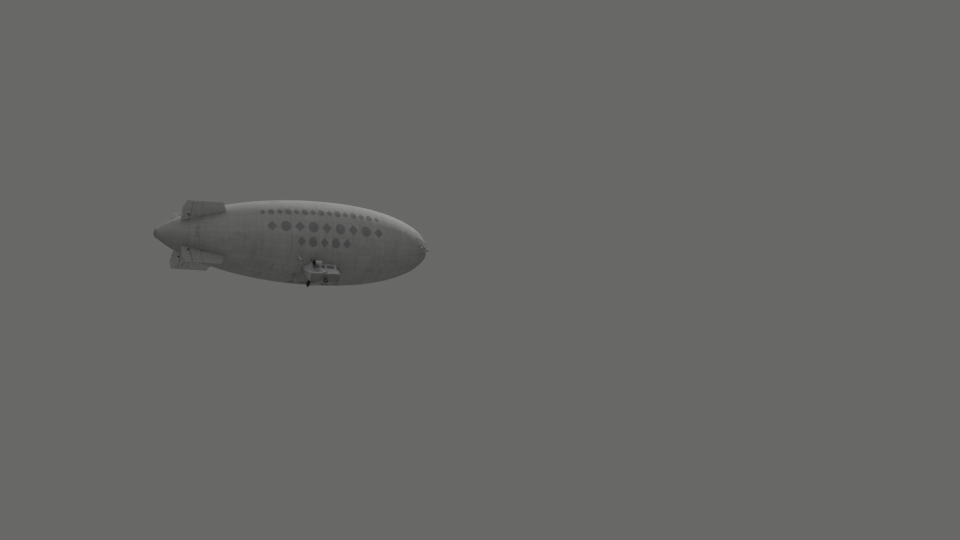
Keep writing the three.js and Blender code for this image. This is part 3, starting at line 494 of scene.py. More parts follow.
# Shared shader groups
class Web:
    """Adds nodes to a tree and links them as they are added."""

    def __init__(self, tree):
        self.tree = tree

    def add(self, kind, sockets=None, **settings):
        made = self.tree.nodes.new("ShaderNode" + kind)
        for key, value in settings.items():
            setattr(made, key, value)
        for key, value in (sockets or {}).items():
            self.set(made, key, value)
        return made

    def set(self, node, key, value):
        if isinstance(value, bpy.types.NodeSocket):
            self.tree.links.new(value, node.inputs[key])
        else:
            node.inputs[key].default_value = value

    def look(self, key, value):
        """Sets an input of the material's own shader."""
        self.set(self.tree.nodes["Principled BSDF"], key, value)

    def math(self, operation, *values, clamp=False):
        return self.add("Math", dict(enumerate(values)), operation=operation, use_clamp=clamp).outputs[0]

    plus = partialmethod(math, "ADD")
    minus = partialmethod(math, "SUBTRACT")
    times = partialmethod(math, "MULTIPLY")
    over = partialmethod(math, "DIVIDE")
    most = partialmethod(math, "MAXIMUM")
    absolute = partialmethod(math, "ABSOLUTE")

    def distance(self, x, y):
        squares = [self.math("POWER", value, 2.0) for value in (x, y)]
        return self.math("SQRT", self.plus(*squares))

    def noise(self, vector, scale, detail=3.0, roughness=0.5, distortion=0.0):
        sockets = {"Vector": vector, "Scale": scale, "Detail": detail, "Roughness": roughness}
        return self.add("TexNoise", {**sockets, "Distortion": distortion}).outputs["Fac"]

    def blend(self, share, a, b, kind="MIX"):
        made = self.add("Mix", {"Factor": share}, data_type="RGBA", blend_type=kind)
        self.set(made, 6, a)
        self.set(made, 7, b)
        return made.outputs[2]

    def ramp(self, value, low, high, to_low=0.0, to_high=1.0):
        sockets = {"Value": value, "From Min": low, "From Max": high, "To Min": to_low, "To Max": to_high}
        return self.add("MapRange", sockets, clamp=True).outputs[0]

    def split(self, vector):
        return self.add("SeparateXYZ", {"Vector": vector}).outputs

    def scaled(self, vector, scale):
        return self.add("Mapping", {"Vector": vector, "Scale": scale}).outputs[0]

    def object_place(self):
        return self.add("TexCoord").outputs["Object"]

    def bump(self, height):
        return self.add("Bump", {"Height": height, "Distance": 1.0, "Strength": 1.0}).outputs[0]

    def grey(self, value):
        return self.add("CombineColor", {0: value, 1: value, 2: value}).outputs[0]


def new_socket(tree, label, way, is_colour):
    kind = "NodeSocketColor" if is_colour else "NodeSocketFloat"
    return tree.interface.new_socket(label, in_out=way, socket_type=kind)


def shader_group(name, inputs, build):
    """Makes a node group once. Its inputs are defaults by name, and its outputs are what build() gives."""
    tree = bpy.data.node_groups.get(name)
    if tree:
        return tree
    tree = bpy.data.node_groups.new(name, "ShaderNodeTree")
    for label, default in inputs.items():
        new_socket(tree, label, "INPUT", isinstance(default, tuple)).default_value = default
    made = build(Web(tree), tree.nodes.new("NodeGroupInput").outputs)
    for label, socket in made.items():
        new_socket(tree, label, "OUTPUT", socket.type == "RGBA")
    end = tree.nodes.new("NodeGroupOutput")
    for label, socket in made.items():
        tree.links.new(socket, end.inputs[label])
    return tree


def weather_group():
    """Blotches, streaks that run down, and fine grain."""

    def build(web, given):
        place = web.object_place()
        blotch = web.noise(place, given["Blotch Scale"], 4, 0.55, 0.4)
        streak = web.noise(web.scaled(place, (1.0, 1.0, 0.12)), given["Streak Scale"], 4, 0.6, 0.2)
        grain = web.noise(place, given["Grain Scale"], 2, 0.5)
        dirt = web.times(web.ramp(blotch, 0.42, 0.72), web.ramp(streak, 0.35, 0.7))
        dirt = web.times(dirt, given["Amount"], clamp=True)
        shade = web.ramp(web.plus(blotch, grain), 0.6, 1.4, 0.93, 1.07)
        toned = web.blend(1.0, given["Colour"], web.grey(shade), "MULTIPLY")
        return {"Colour": web.blend(dirt, toned, given["Dirt"]), "Dirt Mask": dirt, "Grain": grain}

    inputs = {
        "Colour": (0.5, 0.5, 0.5, 1), "Dirt": (0.05, 0.045, 0.04, 1), "Amount": 0.4, "Blotch Scale": 2.0,
        "Streak Scale": 6.0, "Grain Scale": 60.0,
    }
    return shader_group("Weather", inputs, build)


def edge_wear_group():
    """A mask of worn edges: where a rounded normal leaves the true one, broken up by noise."""

    def build(web, given):
        rounded = web.add("Bevel", {"Radius": given["Width"]}, samples=4).outputs[0]
        true = web.add("NewGeometry").outputs["Normal"]
        along = web.add("VectorMath", {0: rounded, 1: true}, operation="DOT_PRODUCT").outputs["Value"]
        edge = web.ramp(along, 0.995, 0.86)
        broken = web.noise(web.object_place(), given["Break Scale"], 5, 0.65)
        worn = web.times(edge, web.ramp(broken, 0.45, 0.62))
        return {"Mask": web.times(worn, given["Amount"], clamp=True)}

    return shader_group("Edge Wear", {"Width": 0.012, "Break Scale": 18.0, "Amount": 0.8}, build)


def lines_group():
    """Repeating soft lines along one value, each with its own width."""

    def build(web, given):
        part = web.math("FRACT", web.over(given["Value"], given["Spacing"]))
        near = web.minus(0.5, web.absolute(web.minus(part, 0.5)))
        distance = web.times(near, web.times(given["Spacing"], given["Stretch"]))
        half = web.times(given["Width"], 0.5)
        outer = web.times(half, 1.25)
        return {"Mask": web.ramp(distance, half, outer, 1.0, 0.0), "Distance": distance}

    inputs = {"Value": 0.0, "Spacing": 1.0, "Width": 0.05, "Stretch": 1.0}
    return shader_group("Lines", inputs, build)


def rivets_group():
    """Rows of round heads on a plane of two values."""

    def build(web, given):
        def from_centre(value, pitch):
            part = web.math("FRACT", web.over(value, pitch))
            return web.times(web.minus(part, 0.5), pitch)

        across = from_centre(given["Across"], given["Row Pitch"])
        along = from_centre(given["Along"], given["Pitch"])
        distance = web.distance(across, along)
        radius = given["Radius"]
        dome = web.minus(1.0, web.over(distance, radius), clamp=True)
        return {"Height": web.times(dome, radius)}

    inputs = {"Across": 0.0, "Along": 0.0, "Row Pitch": 0.5, "Pitch": 0.04, "Radius": 0.005}
    return shader_group("Rivets", inputs, build)


def mark_row_group():
    """A row of discs and lozenges by turns, on a surface of station and girth, both in metres."""

    def build(web, given):
        along = web.over(web.minus(given["Station"], given["Start"]), given["Pitch"])
        cell = web.math("FLOOR", along)
        x = web.times(web.minus(web.math("FRACT", along), 0.5), given["Pitch"])
        x = web.absolute(web.over(x, given["Half Width"]))
        y = web.minus(given["Girth"], given["Middle"])
        y = web.absolute(web.over(y, given["Half Height"]))
        disc = web.distance(x, y)
        lozenge = web.plus(x, y)
        odd = web.math("MODULO", cell, 2.0)
        distance = web.add("Mix", {"Factor": odd, 2: lozenge, 3: disc}, data_type="FLOAT").outputs[0]
        shape = web.ramp(distance, 1.012, 0.988)
        after = web.math("GREATER_THAN", cell, -0.5)
        before = web.math("LESS_THAN", web.plus(cell, 0.5), given["Count"])
        return {"Mask": web.times(shape, web.times(after, before))}

    inputs = {
        "Station": 0.0, "Girth": 0.0, "Start": 8.0, "Middle": 5.0, "Pitch": 1.9, "Half Width": 0.7,
        "Half Height": 0.8, "Count": 9.0,
    }
    return shader_group("Mark Row", inputs, build)


# Materials
MARK_ROWS = (
    # first station, bearing of the middle from the keel in degrees, pitch, half width, half height, marks
    (8.0, 82.5, 1.14, 0.43, 0.58, 15),
    (7.6, 58.0, 1.87, 0.68, 0.78, 9),
    (12.4, 37.5, 1.58, 0.57, 0.68, 5),
)


def material(name):
    """An empty material and its node web."""
    made = bpy.data.materials.new(name)
    made.use_nodes = True
    return made, Web(made.node_tree)


def rgba(value, scale=1.0):
    return (*(part * scale for part in value), 1)


def group_node(web, tree, sockets):
    made = web.tree.nodes.new("ShaderNodeGroup")
    made.node_tree = tree
    for key, value in sockets.items():
        web.set(made, key, value)
    return made.outputs


def weathered(web, colour, dirt, amount, blotch, streak, grain):
    """A colour with dirt and grain over it. The last three are the scales of the patterns."""
    return group_node(web, weather_group(), {
        "Colour": colour, "Dirt": dirt, "Amount": amount, "Blotch Scale": blotch, "Streak Scale": streak,
        "Grain Scale": grain,
    })


def stripes(web, value, spacing, width, stretch=1.0):
    sockets = {"Value": value, "Spacing": spacing, "Width": width, "Stretch": stretch}
    return group_node(web, lines_group(), sockets)


def worn_edges(web, width, scale, amount):
    sockets = {"Width": width, "Break Scale": scale, "Amount": amount}
    return group_node(web, edge_wear_group(), sockets)["Mask"]


def hull_material(hull, finish):
    made, web = material("Doped hull fabric")
    place = web.object_place()
    x, y, z = web.split(place)
    station = web.minus(hull.lift, x)
    bearing = web.math("ARCTAN2", y, z)
    radius = web.distance(y, z)
    gore = 2 * pi / hull.gores
    gores = stripes(web, web.plus(bearing, 2 * pi), gore, hull.tape, radius)
    panels = stripes(web, station, hull.panel, hull.tape * 0.7)
    tape = web.most(gores["Mask"], web.times(panels["Mask"], 0.8))

    # Each panel of cloth takes the dope a little differently.
    strip = web.math("FLOOR", web.over(web.plus(bearing, 2 * pi), gore))
    panel = web.math("FLOOR", web.over(station, hull.panel))
    own = web.add("TexWhiteNoise", {"Vector": web.add("CombineXYZ", {0: strip, 1: panel}).outputs[0]},
                  noise_dimensions="2D").outputs["Value"]
    weather = weathered(web, rgba(finish.dope), rgba(finish.grime), amount=0.3, blotch=0.35, streak=1.6,
                        grain=9.0)
    tone = web.ramp(own, 0.0, 1.0, 0.965, 1.03)
    cloth = web.blend(1.0, weather["Colour"], web.grey(tone), "MULTIPLY")
    cloth = web.blend(web.times(tape, 0.3), cloth, rgba(finish.dope, 0.66))

    # Streaks darken the hull more and more from the widest line down to the keel.
    girth_place = web.add("CombineXYZ", {0: web.times(x, 3.0), 1: web.times(bearing, 0.5)})
    runs = web.noise(girth_place.outputs[0], 1.0, 4, 0.62)
    runs = web.times(web.ramp(runs, 0.5, 0.75), web.ramp(z, 3.0, -4.5))
    cloth = web.blend(web.times(runs, 0.25), cloth, rgba(finish.grime))

    # Plain marks on both sides of the hull.
    keel_bearing = web.math("ARCTAN2", web.absolute(y), web.times(z, -1.0))
    girth = web.times(keel_bearing, hull.radius)
    marks = None
    for start, middle, pitch, half_width, half_height, marks_in_row in MARK_ROWS:
        row = group_node(web, mark_row_group(), {
            "Station": station, "Girth": girth, "Start": start, "Middle": radians(middle) * hull.radius,
            "Pitch": pitch, "Half Width": half_width, "Half Height": half_height,
            "Count": float(marks_in_row),
        })["Mask"]
        marks = row if marks is None else web.most(marks, row)
    faded = web.ramp(web.noise(place, 1.3, 5, 0.6), 0.3, 0.7, 0.72, 0.92)
    cloth = web.blend(web.times(marks, faded), cloth, rgba(finish.marks))
    web.look("Base Color", cloth)

    web.look("Metallic", web.ramp(marks, 0.0, 1.0, 0.3, 0.05))
    web.look("Specular IOR Level", 0.2)
    rough = web.ramp(weather["Dirt Mask"], 0.0, 0.5, 0.8, 0.9)
    web.look("Roughness", web.plus(rough, web.times(tape, 0.05)))

    # Tapes stand proud, and the cloth puckers beside them.
    pucker_place = web.add("CombineXYZ", {0: web.times(x, 7.0), 1: web.times(bearing, 3.0)})
    pucker = web.noise(pucker_place.outputs[0], 1.0, 3, 0.55)
    beside = web.ramp(gores["Distance"], 0.02, 0.30, 1.0, 0.12)
    height = web.times(web.times(pucker, beside), 0.010)
    height = web.plus(height, web.times(tape, 0.0012))
    height = web.plus(height, web.times(weather["Grain"], 0.0006))
    web.look("Normal", web.bump(height))
    return made


def fin_material(name, tail, finish, dope):
    """Doped cloth over ribs and spars, laid out on the panel's own UV map."""
    made, web = material(name)
    across, along, _ = web.split(web.add("UVMap", uv_map="Panel").outputs[0])
    tape_width, rib_length, chord = 0.035, 2.6, 3.0
    ribs = stripes(web, along, 1 / tail.bays, tape_width, rib_length)
    spars = stripes(web, across, 1 / tail.spars, tape_width, chord)
    tape = web.most(ribs["Mask"], web.times(spars["Mask"], 0.7))
    weather = weathered(web, rgba(dope), rgba(finish.grime), amount=0.35, blotch=0.7, streak=3.0, grain=14.0)
    cloth = web.blend(web.times(tape, 0.35), weather["Colour"], rgba(dope, 0.6))
    web.look("Base Color", cloth)
    web.look("Metallic", 0.3)
    web.look("Specular IOR Level", 0.2)
    web.look("Roughness", web.ramp(weather["Dirt Mask"], 0.0, 0.5, 0.78, 0.9))
    height = web.plus(web.times(tape, 0.0015), web.times(weather["Grain"], 0.0008))
    web.look("Normal", web.bump(height))
    return made


def painted_sheet(finish):
    """Painted sheet metal with rivet rows, panel seams, streaks, worn edges and painted shade on the
    underside.
    """
    made, web = material("Painted sheet")
    sheet_length, sheet_height, seam_width = 0.62, 0.49, 0.004
    x, y, z = web.split(web.object_place())
    weather = weathered(web, rgba(finish.paint), rgba(finish.steel, 0.9), amount=0.55, blotch=1.8, streak=7.0,
                        grain=55.0)
    upright = stripes(web, x, sheet_length, seam_width)["Mask"]
    level = stripes(web, web.plus(z, 7.14), sheet_height, seam_width)["Mask"]
    seam = web.most(upright, level)
    rivets = {"Pitch": 0.05, "Radius": 0.007}
    up_rows = group_node(web, rivets_group(), {
        "Across": web.plus(x, 0.28), "Along": z, "Row Pitch": sheet_length, **rivets,
    })
    round_car = web.minus(x, web.times(web.absolute(y), web.math("SIGN", x)))
    level_rows = group_node(web, rivets_group(), {
        "Across": web.plus(z, 7.355), "Along": round_car, "Row Pitch": sheet_height, **rivets,
    })
    heads = web.most(up_rows["Height"], level_rows["Height"])
    worn = worn_edges(web, width=0.012, scale=16.0, amount=0.75)
    # Painted shade: the underside of the car is darkened towards the dirt colour, broken up by the grain.
    painted_underside_shade = web.times(web.ramp(z, -7.55, -7.74), web.ramp(weather["Grain"], 0.2, 0.8, 0.45, 0.75))
    paint = web.blend(painted_underside_shade, weather["Colour"], rgba(finish.grime))
    paint = web.blend(web.times(seam, 0.75), paint, rgba(finish.steel))
    paint = web.blend(worn, paint, rgba(finish.alloy, 0.8))
    web.look("Base Color", paint)
    web.look("Metallic", web.ramp(worn, 0.0, 1.0, 0.25, 0.9))
    web.look("Roughness", web.ramp(weather["Dirt Mask"], 0.0, 0.6, 0.38, 0.6))
    height = web.minus(web.times(heads, 0.5), web.times(seam, 0.002))
    web.look("Normal", web.bump(web.plus(height, web.times(weather["Grain"], 0.0004))))
    return made


def metal(name, base, roughness, dirt, stretch, grain=90.0, wear=0.6, worn_colour=(0.6, 0.6, 0.6)):
    """Bare or dark metal with brush marks along one direction, grime and bright edges."""
    made, web = material(name)
    place = web.object_place()
    brushed = web.noise(web.scaled(place, stretch), grain, 3, 0.6)
    weather = weathered(web, rgba(base), (0.03, 0.026, 0.02, 1), amount=dirt, blotch=5.0, streak=14.0,
                        grain=120.0)
    worn = worn_edges(web, width=0.006, scale=35.0, amount=wear)
    web.look("Base Color", web.blend(worn, weather["Colour"], rgba(worn_colour)))
    web.look("Metallic", web.ramp(weather["Dirt Mask"], 0.0, 0.6, 0.9, 0.35))
    rough = web.plus(web.ramp(brushed, 0.3, 0.7, roughness - 0.08, roughness + 0.1),
                     web.times(weather["Dirt Mask"], 0.3), clamp=True)
    web.look("Roughness", rough)
    web.look("Normal", web.bump(web.times(brushed, 0.0004)))
    return made


def wood_material(finish):
    """Varnished laminated wood: layers across the blade and grain along it."""
    made, web = material("Varnished laminated wood")
    layer_height = 0.019
    place = web.object_place()
    x, _, _ = web.split(place)
    layer = stripes(web, x, layer_height, 0.003)["Mask"]
    number_of_layer = web.math("FLOOR", web.over(x, layer_height))
    own = web.add("TexWhiteNoise", {"W": number_of_layer}, noise_dimensions="1D").outputs["Value"]
    grain = web.noise(web.scaled(place, (60.0, 60.0, 3.0)), 1.0, 5, 0.65, 1.2)
    base = web.blend(web.ramp(grain, 0.35, 0.65), rgba(finish.wood, 0.6), rgba(finish.wood, 1.35))
    base = web.blend(web.ramp(own, 0.0, 1.0, 0.0, 0.35), base, rgba(finish.wood, 1.9))
    web.look("Base Color", web.blend(web.times(layer, 0.6), base, rgba(finish.wood, 0.3)))
    web.look("Roughness", web.ramp(grain, 0.3, 0.7, 0.3, 0.42))
    web.look("Coat Weight", web.ramp(web.noise(place, 7.0, 4), 0.3, 0.6, 0.35, 0.8))
    web.look("Normal", web.bump(web.times(grain, 0.0004)))
    return made


def leather_material(finish):
    made, web = material("Seat leather")
    place = web.object_place()
    voronoi = web.add("TexVoronoi", {"Vector": place, "Scale": 160.0}, feature="DISTANCE_TO_EDGE")
    cells = voronoi.outputs["Distance"]
    crease = web.noise(place, 11.0, 5, 0.6, 1.5)
    worn = web.ramp(crease, 0.52, 0.7)
    base = web.blend(web.times(worn, 0.6), rgba(finish.leather), rgba(finish.leather, 2.4))
    web.look("Base Color", base)
    web.look("Roughness", web.ramp(worn, 0.0, 1.0, 0.42, 0.62))
    height = web.plus(web.times(web.ramp(cells, 0.0, 0.12), 0.0006), web.times(crease, 0.004))
    web.look("Normal", web.bump(height))
    return made


def rubber_material(finish):
    made, web = material("Tyre rubber")
    weather = weathered(web, rgba(finish.rubber), (0.12, 0.10, 0.075, 1), amount=0.9, blotch=6.0, streak=20.0,
                        grain=220.0)
    web.look("Base Color", weather["Colour"])
    web.look("Roughness", web.ramp(weather["Dirt Mask"], 0.0, 0.5, 0.62, 0.9))
    web.look("Normal", web.bump(web.times(weather["Grain"], 0.0008)))
    return made


def glass_material(finish):
    """Thin clear glass with a film of dust. Light goes straight through it."""
    made, web = material("Window glass")
    dust = web.ramp(web.noise(web.object_place(), 5.0, 6, 0.7, 0.6), 0.35, 0.8)
    web.look("Base Color", rgba(finish.glass))
    web.look("Roughness", web.ramp(dust, 0.0, 1.0, 0.03, 0.25))
    web.look("Alpha", web.ramp(dust, 0.0, 1.0, 0.18, 0.34))
    return made


def lamp_material(name, shade):
    made, web = material(name)
    ribs = stripes(web, web.split(web.object_place())[2], 0.012, 0.004)["Mask"]
    web.look("Base Color", web.blend(web.times(ribs, 0.5), rgba(shade), rgba(shade, 0.4)))
    web.look("Roughness", web.ramp(ribs, 0.0, 1.0, 0.08, 0.2))
    web.look("Transmission Weight", 0.5)
    return made


def mix_looks(scene):
    """Makes every material once, from the colours in the settings."""
    finish, hull, tail = scene.airship_finish, scene.airship_hull, scene.airship_tail
    along_x, along_z = (0.08, 1.0, 1.0), (1.0, 1.0, 0.08)
    LOOK.update({
        "hull": hull_material(hull, finish),
        # The level fins' cloth carries painted light and the upright fins' cloth painted shade, as two tones
        # of one dope.
        "level_fin": fin_material("Doped cloth of the level fins with painted light", tail, finish, finish.level_fins),
        "upright_fin": fin_material("Doped cloth of the upright fins with painted shade", tail, finish, finish.upright_fins),
        "sheet": painted_sheet(finish),
        "alloy": metal("Bare alloy", finish.alloy, 0.34, 0.45, along_x),
        "dull_alloy": metal("Dull doped alloy", finish.dope, 0.6, 0.5, along_x),
        "steel": metal("Dark steel", finish.steel, 0.42, 0.4, along_z, worn_colour=(0.35, 0.34, 0.33)),
        "engine": metal("Cast engine metal", finish.engine, 0.5, 0.7, along_z, grain=160.0),
        "exhaust": metal("Burnt exhaust", finish.exhaust, 0.6, 0.8, along_x, worn_colour=(0.3, 0.2, 0.15)),
        "wire": metal("Wire rope", finish.steel, 0.4, 0.3, along_x, grain=300.0, wear=0.0),
        "wood": wood_material(finish),
        "leather": leather_material(finish),
        "rubber": rubber_material(finish),
        "glass": glass_material(finish),
        "red_lamp": lamp_material("Red lamp glass", (0.5, 0.02, 0.015)),
        "green_lamp": lamp_material("Green lamp glass", (0.02, 0.3, 0.08)),
        "clear_lamp": lamp_material("Clear lamp glass", (0.75, 0.75, 0.7)),
    })


# Hull and nose
def hull_frame(hull, station, bearing, offset=0.0):
    """A place on the hull: X runs round it, Y points out of it and Z aft."""
    step = min(0.01, station / 2)
    aft = (hull_point(hull, station + step, bearing) - hull_point(hull, station - step, bearing)).normalized()
    around = Vector((0, -cos(bearing), sin(bearing)))
    out = aft.cross(around)
    turn = Matrix((around, out, aft)).transposed().to_4x4()
    return move(hull_point(hull, station, bearing) + out * offset) @ turn


def hull_outline(hull, station, offset):
    """A point of the hull's (x, radius) outline, moved outwards."""
    step = min(0.01, station / 2)
    slope = (hull_radius(hull, station + step) - hull_radius(hull, station - step)) / (2 * step)
    scale = offset / hypot(1, slope)
    return hull.lift - station + slope * scale, hull_radius(hull, station) + scale


class AIRSHIP_OT_envelope(Operator):
    """Spin the gored fabric hull"""

    bl_idname = "airship.envelope"
    bl_label = "Envelope"

    def execute(self, context):
        hull = context.scene.airship_hull
        fore = [hull.widest * (1 - cos(pi / 2 * i / hull.fore_rings)) for i in range(hull.fore_rings)]
        aft_length = hull.length - hull.widest
        aft = [hull.widest + aft_length * sin(pi / 2 * i / hull.aft_rings) for i in range(hull.aft_rings + 1)]
        bm = bmesh.new()
        profile = [(hull.lift - station, hull_radius(hull, station)) for station in fore + aft]
        lathe(bm, profile, steps=hull.gores * hull.gore_steps)
        gore = 2 * pi / hull.gores
        for vert in bm.verts:
            radius = hypot(vert.co.y, vert.co.z)
            if radius > MERGE:
                part = (atan2(vert.co.y, vert.co.z) / gore) % 1
                swell = hull.crown * 4 * part * (1 - part) * min(radius / 2, 1)
                vert.co.yz *= (radius + swell) / radius
        piece("envelope_skin", bm, "hull", "envelope", crease=60)
        return {"FINISHED"}


class AIRSHIP_OT_nose(Operator):
    """Lace the battens to the nose and bolt on the mooring cone"""

    bl_idname = "airship.nose"
    bl_label = "Nose battens and mooring cone"

    def execute(self, context):
        hull, nose = context.scene.airship_hull, context.scene.airship_nose
        bm, straps = bmesh.new(), bmesh.new()
        half, top = nose.width / 2, nose.height
        outline = [(-half, -0.004), (-half, top * 0.5), (-half * 0.7, top * 0.88), (0, top),
                   (half * 0.7, top * 0.88), (half, top * 0.5), (half, -0.004)]
        steps = 26
        first = 0.06
        for bearing in turns(nose.battens):
            stations = [first + (nose.length - first) * (i / steps) ** 1.8 for i in range(steps + 1)]
            places = [hull_frame(hull, station, bearing) for station in stations]
            places[-1] = places[-1] @ Matrix.Diagonal((0.5, 0.4, 1, 1))
            sweep(bm, places, outline)
            for i in range(1, 14):
                station = first + (nose.length - first) * (i / 14) ** 1.3
                place = hull_frame(hull, station, bearing)
                block(straps, (-half - 0.02, -0.004, -0.014), (half + 0.02, top + 0.004, 0.014), 0.004, place)
        dish = [hull_outline(hull, station, top + 0.006) for station in (0.002, 0.012, 0.03, 0.055, 0.082)]
        rim = hull_outline(hull, 0.09, 0.0)
        inside = [(rim[0] - 0.02, rim[1] - 0.02), (hull.lift - 0.03, 0.15), (dish[0][0], 0.15)]
        lathe(bm, [(dish[0][0], 0.15), *dish, rim, *inside], steps=64)
        hoop(bm, (dish[3][0], 0, 0), X, dish[3][1], 0.012, steps=64)
        piece("batten_set", bm, "alloy", "nose_battens")
        piece("batten_straps", straps, "leather", slot="envelope_fabric")

        low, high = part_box("mooring_cone")
        base, length = low.x, high.x - low.x
        bm = bmesh.new()
        lathe(bm, [(-0.02, 0), (-0.02, 0.26), (0.018, 0.26), (0.025, 0.253), (0.03, 0.19), (0.045, 0.172),
                   (0.1, 0.15), (0.2, 0.118), (length - 0.02, 0.096), (length, 0.088), (length, 0.05),
                   (length - 0.08, 0.045), (length - 0.08, 0)], origin=(base, 0, 0), steps=48)
        bolts(bm, [(base + 0.02) * X + from_x(angle, 0.226) for angle in turns(12)], 0.02 * X, 0.014)
        hoop(bm, (base + length - 0.05, 0, 0), X, 0.1, 0.012)
        piece("mooring_spindle", bm, "steel", "mooring_cone")
        return {"FINISHED"}


# Tail
HORN_RISE = 0.357  # height of a control horn over the lowest hinge bracket
HORN_PIN = 0.135  # how far behind the hinge line the cables are pinned to a horn


def fin_tip(fin, turn):
    """Height of a fin's tip over the hull's axis."""
    out = Matrix.Rotation(radians(turn), 3, "X") @ Z
    return max(corner.dot(out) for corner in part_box(fin))


def rounded_edge(distance, tail):
    """Share of the full thickness at a distance from a fin's rounded edge."""
    return sqrt(max(0, 1 - (1 - min(max(distance, 0) / tail.bevel, 1)) ** 2))


def cloth_sag(tail, across, along):
    """How far the cloth pulls in between ribs and spars, both given as a share of the panel."""
    rib, spar = along * tail.bays % 1, across * tail.spars % 1
    return tail.sag * 4 * rib * (1 - rib) * (0.55 + 1.8 * spar * (1 - spar))


def cloth_shell(bm, columns, rows, point):
    """A closed shell: a grid shaped by point(across, along), and its mirror image."""
    bm.loops.layers.uv.new("Panel")
    centred = move((0.5, 0.5, 0))
    grid = bmesh.ops.create_grid(
        bm, x_segments=columns, y_segments=rows, size=0.5, matrix=centred, calc_uvs=True
    )["verts"]
    for vert in grid:
        vert.co = point(vert.co.x, vert.co.y)
    bmesh.ops.mirror(bm, geom=bm.verts[:] + bm.edges[:] + bm.faces[:], axis="Y", merge_dist=MERGE)


def root_station(hull, tail):
    """Station where a fin's front edge meets the hull."""
    low, high = tail.root_front - 1, tail.root_front + 2
    for _ in range(30):
        middle = (low + high) / 2
        edge = tail.root_height + (middle - tail.root_front) / tail.sweep
        low, high = (low, middle) if edge > hull_radius(hull, middle) else (middle, high)
    return middle


def fixed_fin(hull, tail, tip):
    """The fixed part of one fin, standing along +Z."""
    columns, rows = 44, 54
    rear = tail.hinge - tail.thickness / 2 - tail.hinge_gap
    root_front = root_station(hull, tail)
    tip_front = tail.root_front + (tip - tail.root_height) * tail.sweep

    def point(across, along):
        u = min(across / (1 - 1 / columns), 1) ** 1.5
        v = 1 - (1 - max((along - 1 / rows) / (1 - 1 / rows), 0)) ** 1.4
        root = mix(root_front, rear, u)
        station = mix(root, mix(tip_front, rear, u), v)
        foot = hull_radius(hull, root) - 0.03
        height = mix(foot, tip, v)
        edge = rounded_edge((station - mix(root_front, tip_front, v)) * 0.8, tail)
        edge *= rounded_edge(tip - height, tail)
        half = tail.thickness / 2 * edge - cloth_sag(tail, u, v) * edge
        closed = across > 1 - MERGE or along < MERGE or edge < MERGE
        return Vector((hull.lift - station, 0 if closed else half, height))

    bm = bmesh.new()
    cloth_shell(bm, columns, rows, point)
    return bm


def rear_edge(tail, tip, height):
    """Station of the rear edge of a moving surface at a height."""
    bulge = tip - tail.bulge_drop
    if height > bulge:
        return mix(tail.bulge, tail.tip_rear, (height - bulge) / tail.bulge_drop)
    return mix(tail.root_rear, tail.bulge, (height - 2) / (bulge - 2))


def moving_fin(hull, tail, tip):
    """The moving part of one fin, standing along +Z, with its rounded nose round the hinge line."""
    columns, rows = 30, 54
    nose = tail.thickness / 2 - 0.004

    def point(across, along):
        u = across**1.7
        v = 1 - (1 - max((along - 1 / rows) / (1 - 1 / rows), 0)) ** 1.4
        rear = rear_edge(tail, tip, mix(2.3, tip, v))
        station = mix(tail.hinge - nose, rear, u)
        foot = hull_radius(hull, station) + tail.root_gap
        height = mix(foot, tip, v)
        front = station - tail.hinge + nose
        half = sqrt(max(0, nose**2 - (nose - front) ** 2)) if front < nose else tail.thickness / 2 - 0.004
        half *= mix(0.12, 1, min((rear - station) / 0.6, 1) ** 0.8) * rounded_edge(tip - height, tail)
        half -= cloth_sag(tail, u, v) * min(front / nose / 2, 1) * rounded_edge(rear - station, tail)
        closed = across > 1 - MERGE or across < MERGE or along < MERGE or along > 1 - MERGE
        return Vector((hull.lift - station, 0 if closed else max(half, 0.004), height))

    bm = bmesh.new()
    cloth_shell(bm, columns, rows, point)
    return bm


def hinge_heights(hull, tail, tip):
    root = hull_radius(hull, tail.hinge) + tail.root_gap
    return [mix(root, tip, part) for part in (0.13, 0.48, 0.84)]


def root_strip(hull, tail, fin, turned):
    """The laced cloth strip that closes a fin's root on the hull."""
    bm = bmesh.new()
    front = root_station(hull, tail) + 0.05
    rear = tail.hinge - tail.thickness / 2 - 0.03
    for side in (1, -1):
        points = []
        for i in range(25):
            station = mix(front, rear, i / 24)
            half = tail.thickness / 2 * rounded_edge((station - front) * 0.8, tail)
            bearing = side * atan2(half + 0.004, hull_radius(hull, station))
            points.append(hull_point(hull, station, bearing, 0.006))
        pipe(bm, points, 0.022, 8)
    bm.transform(turned)
    piece(f"{fin}_root_strip", bm, "hull", slot="fin_fabric")


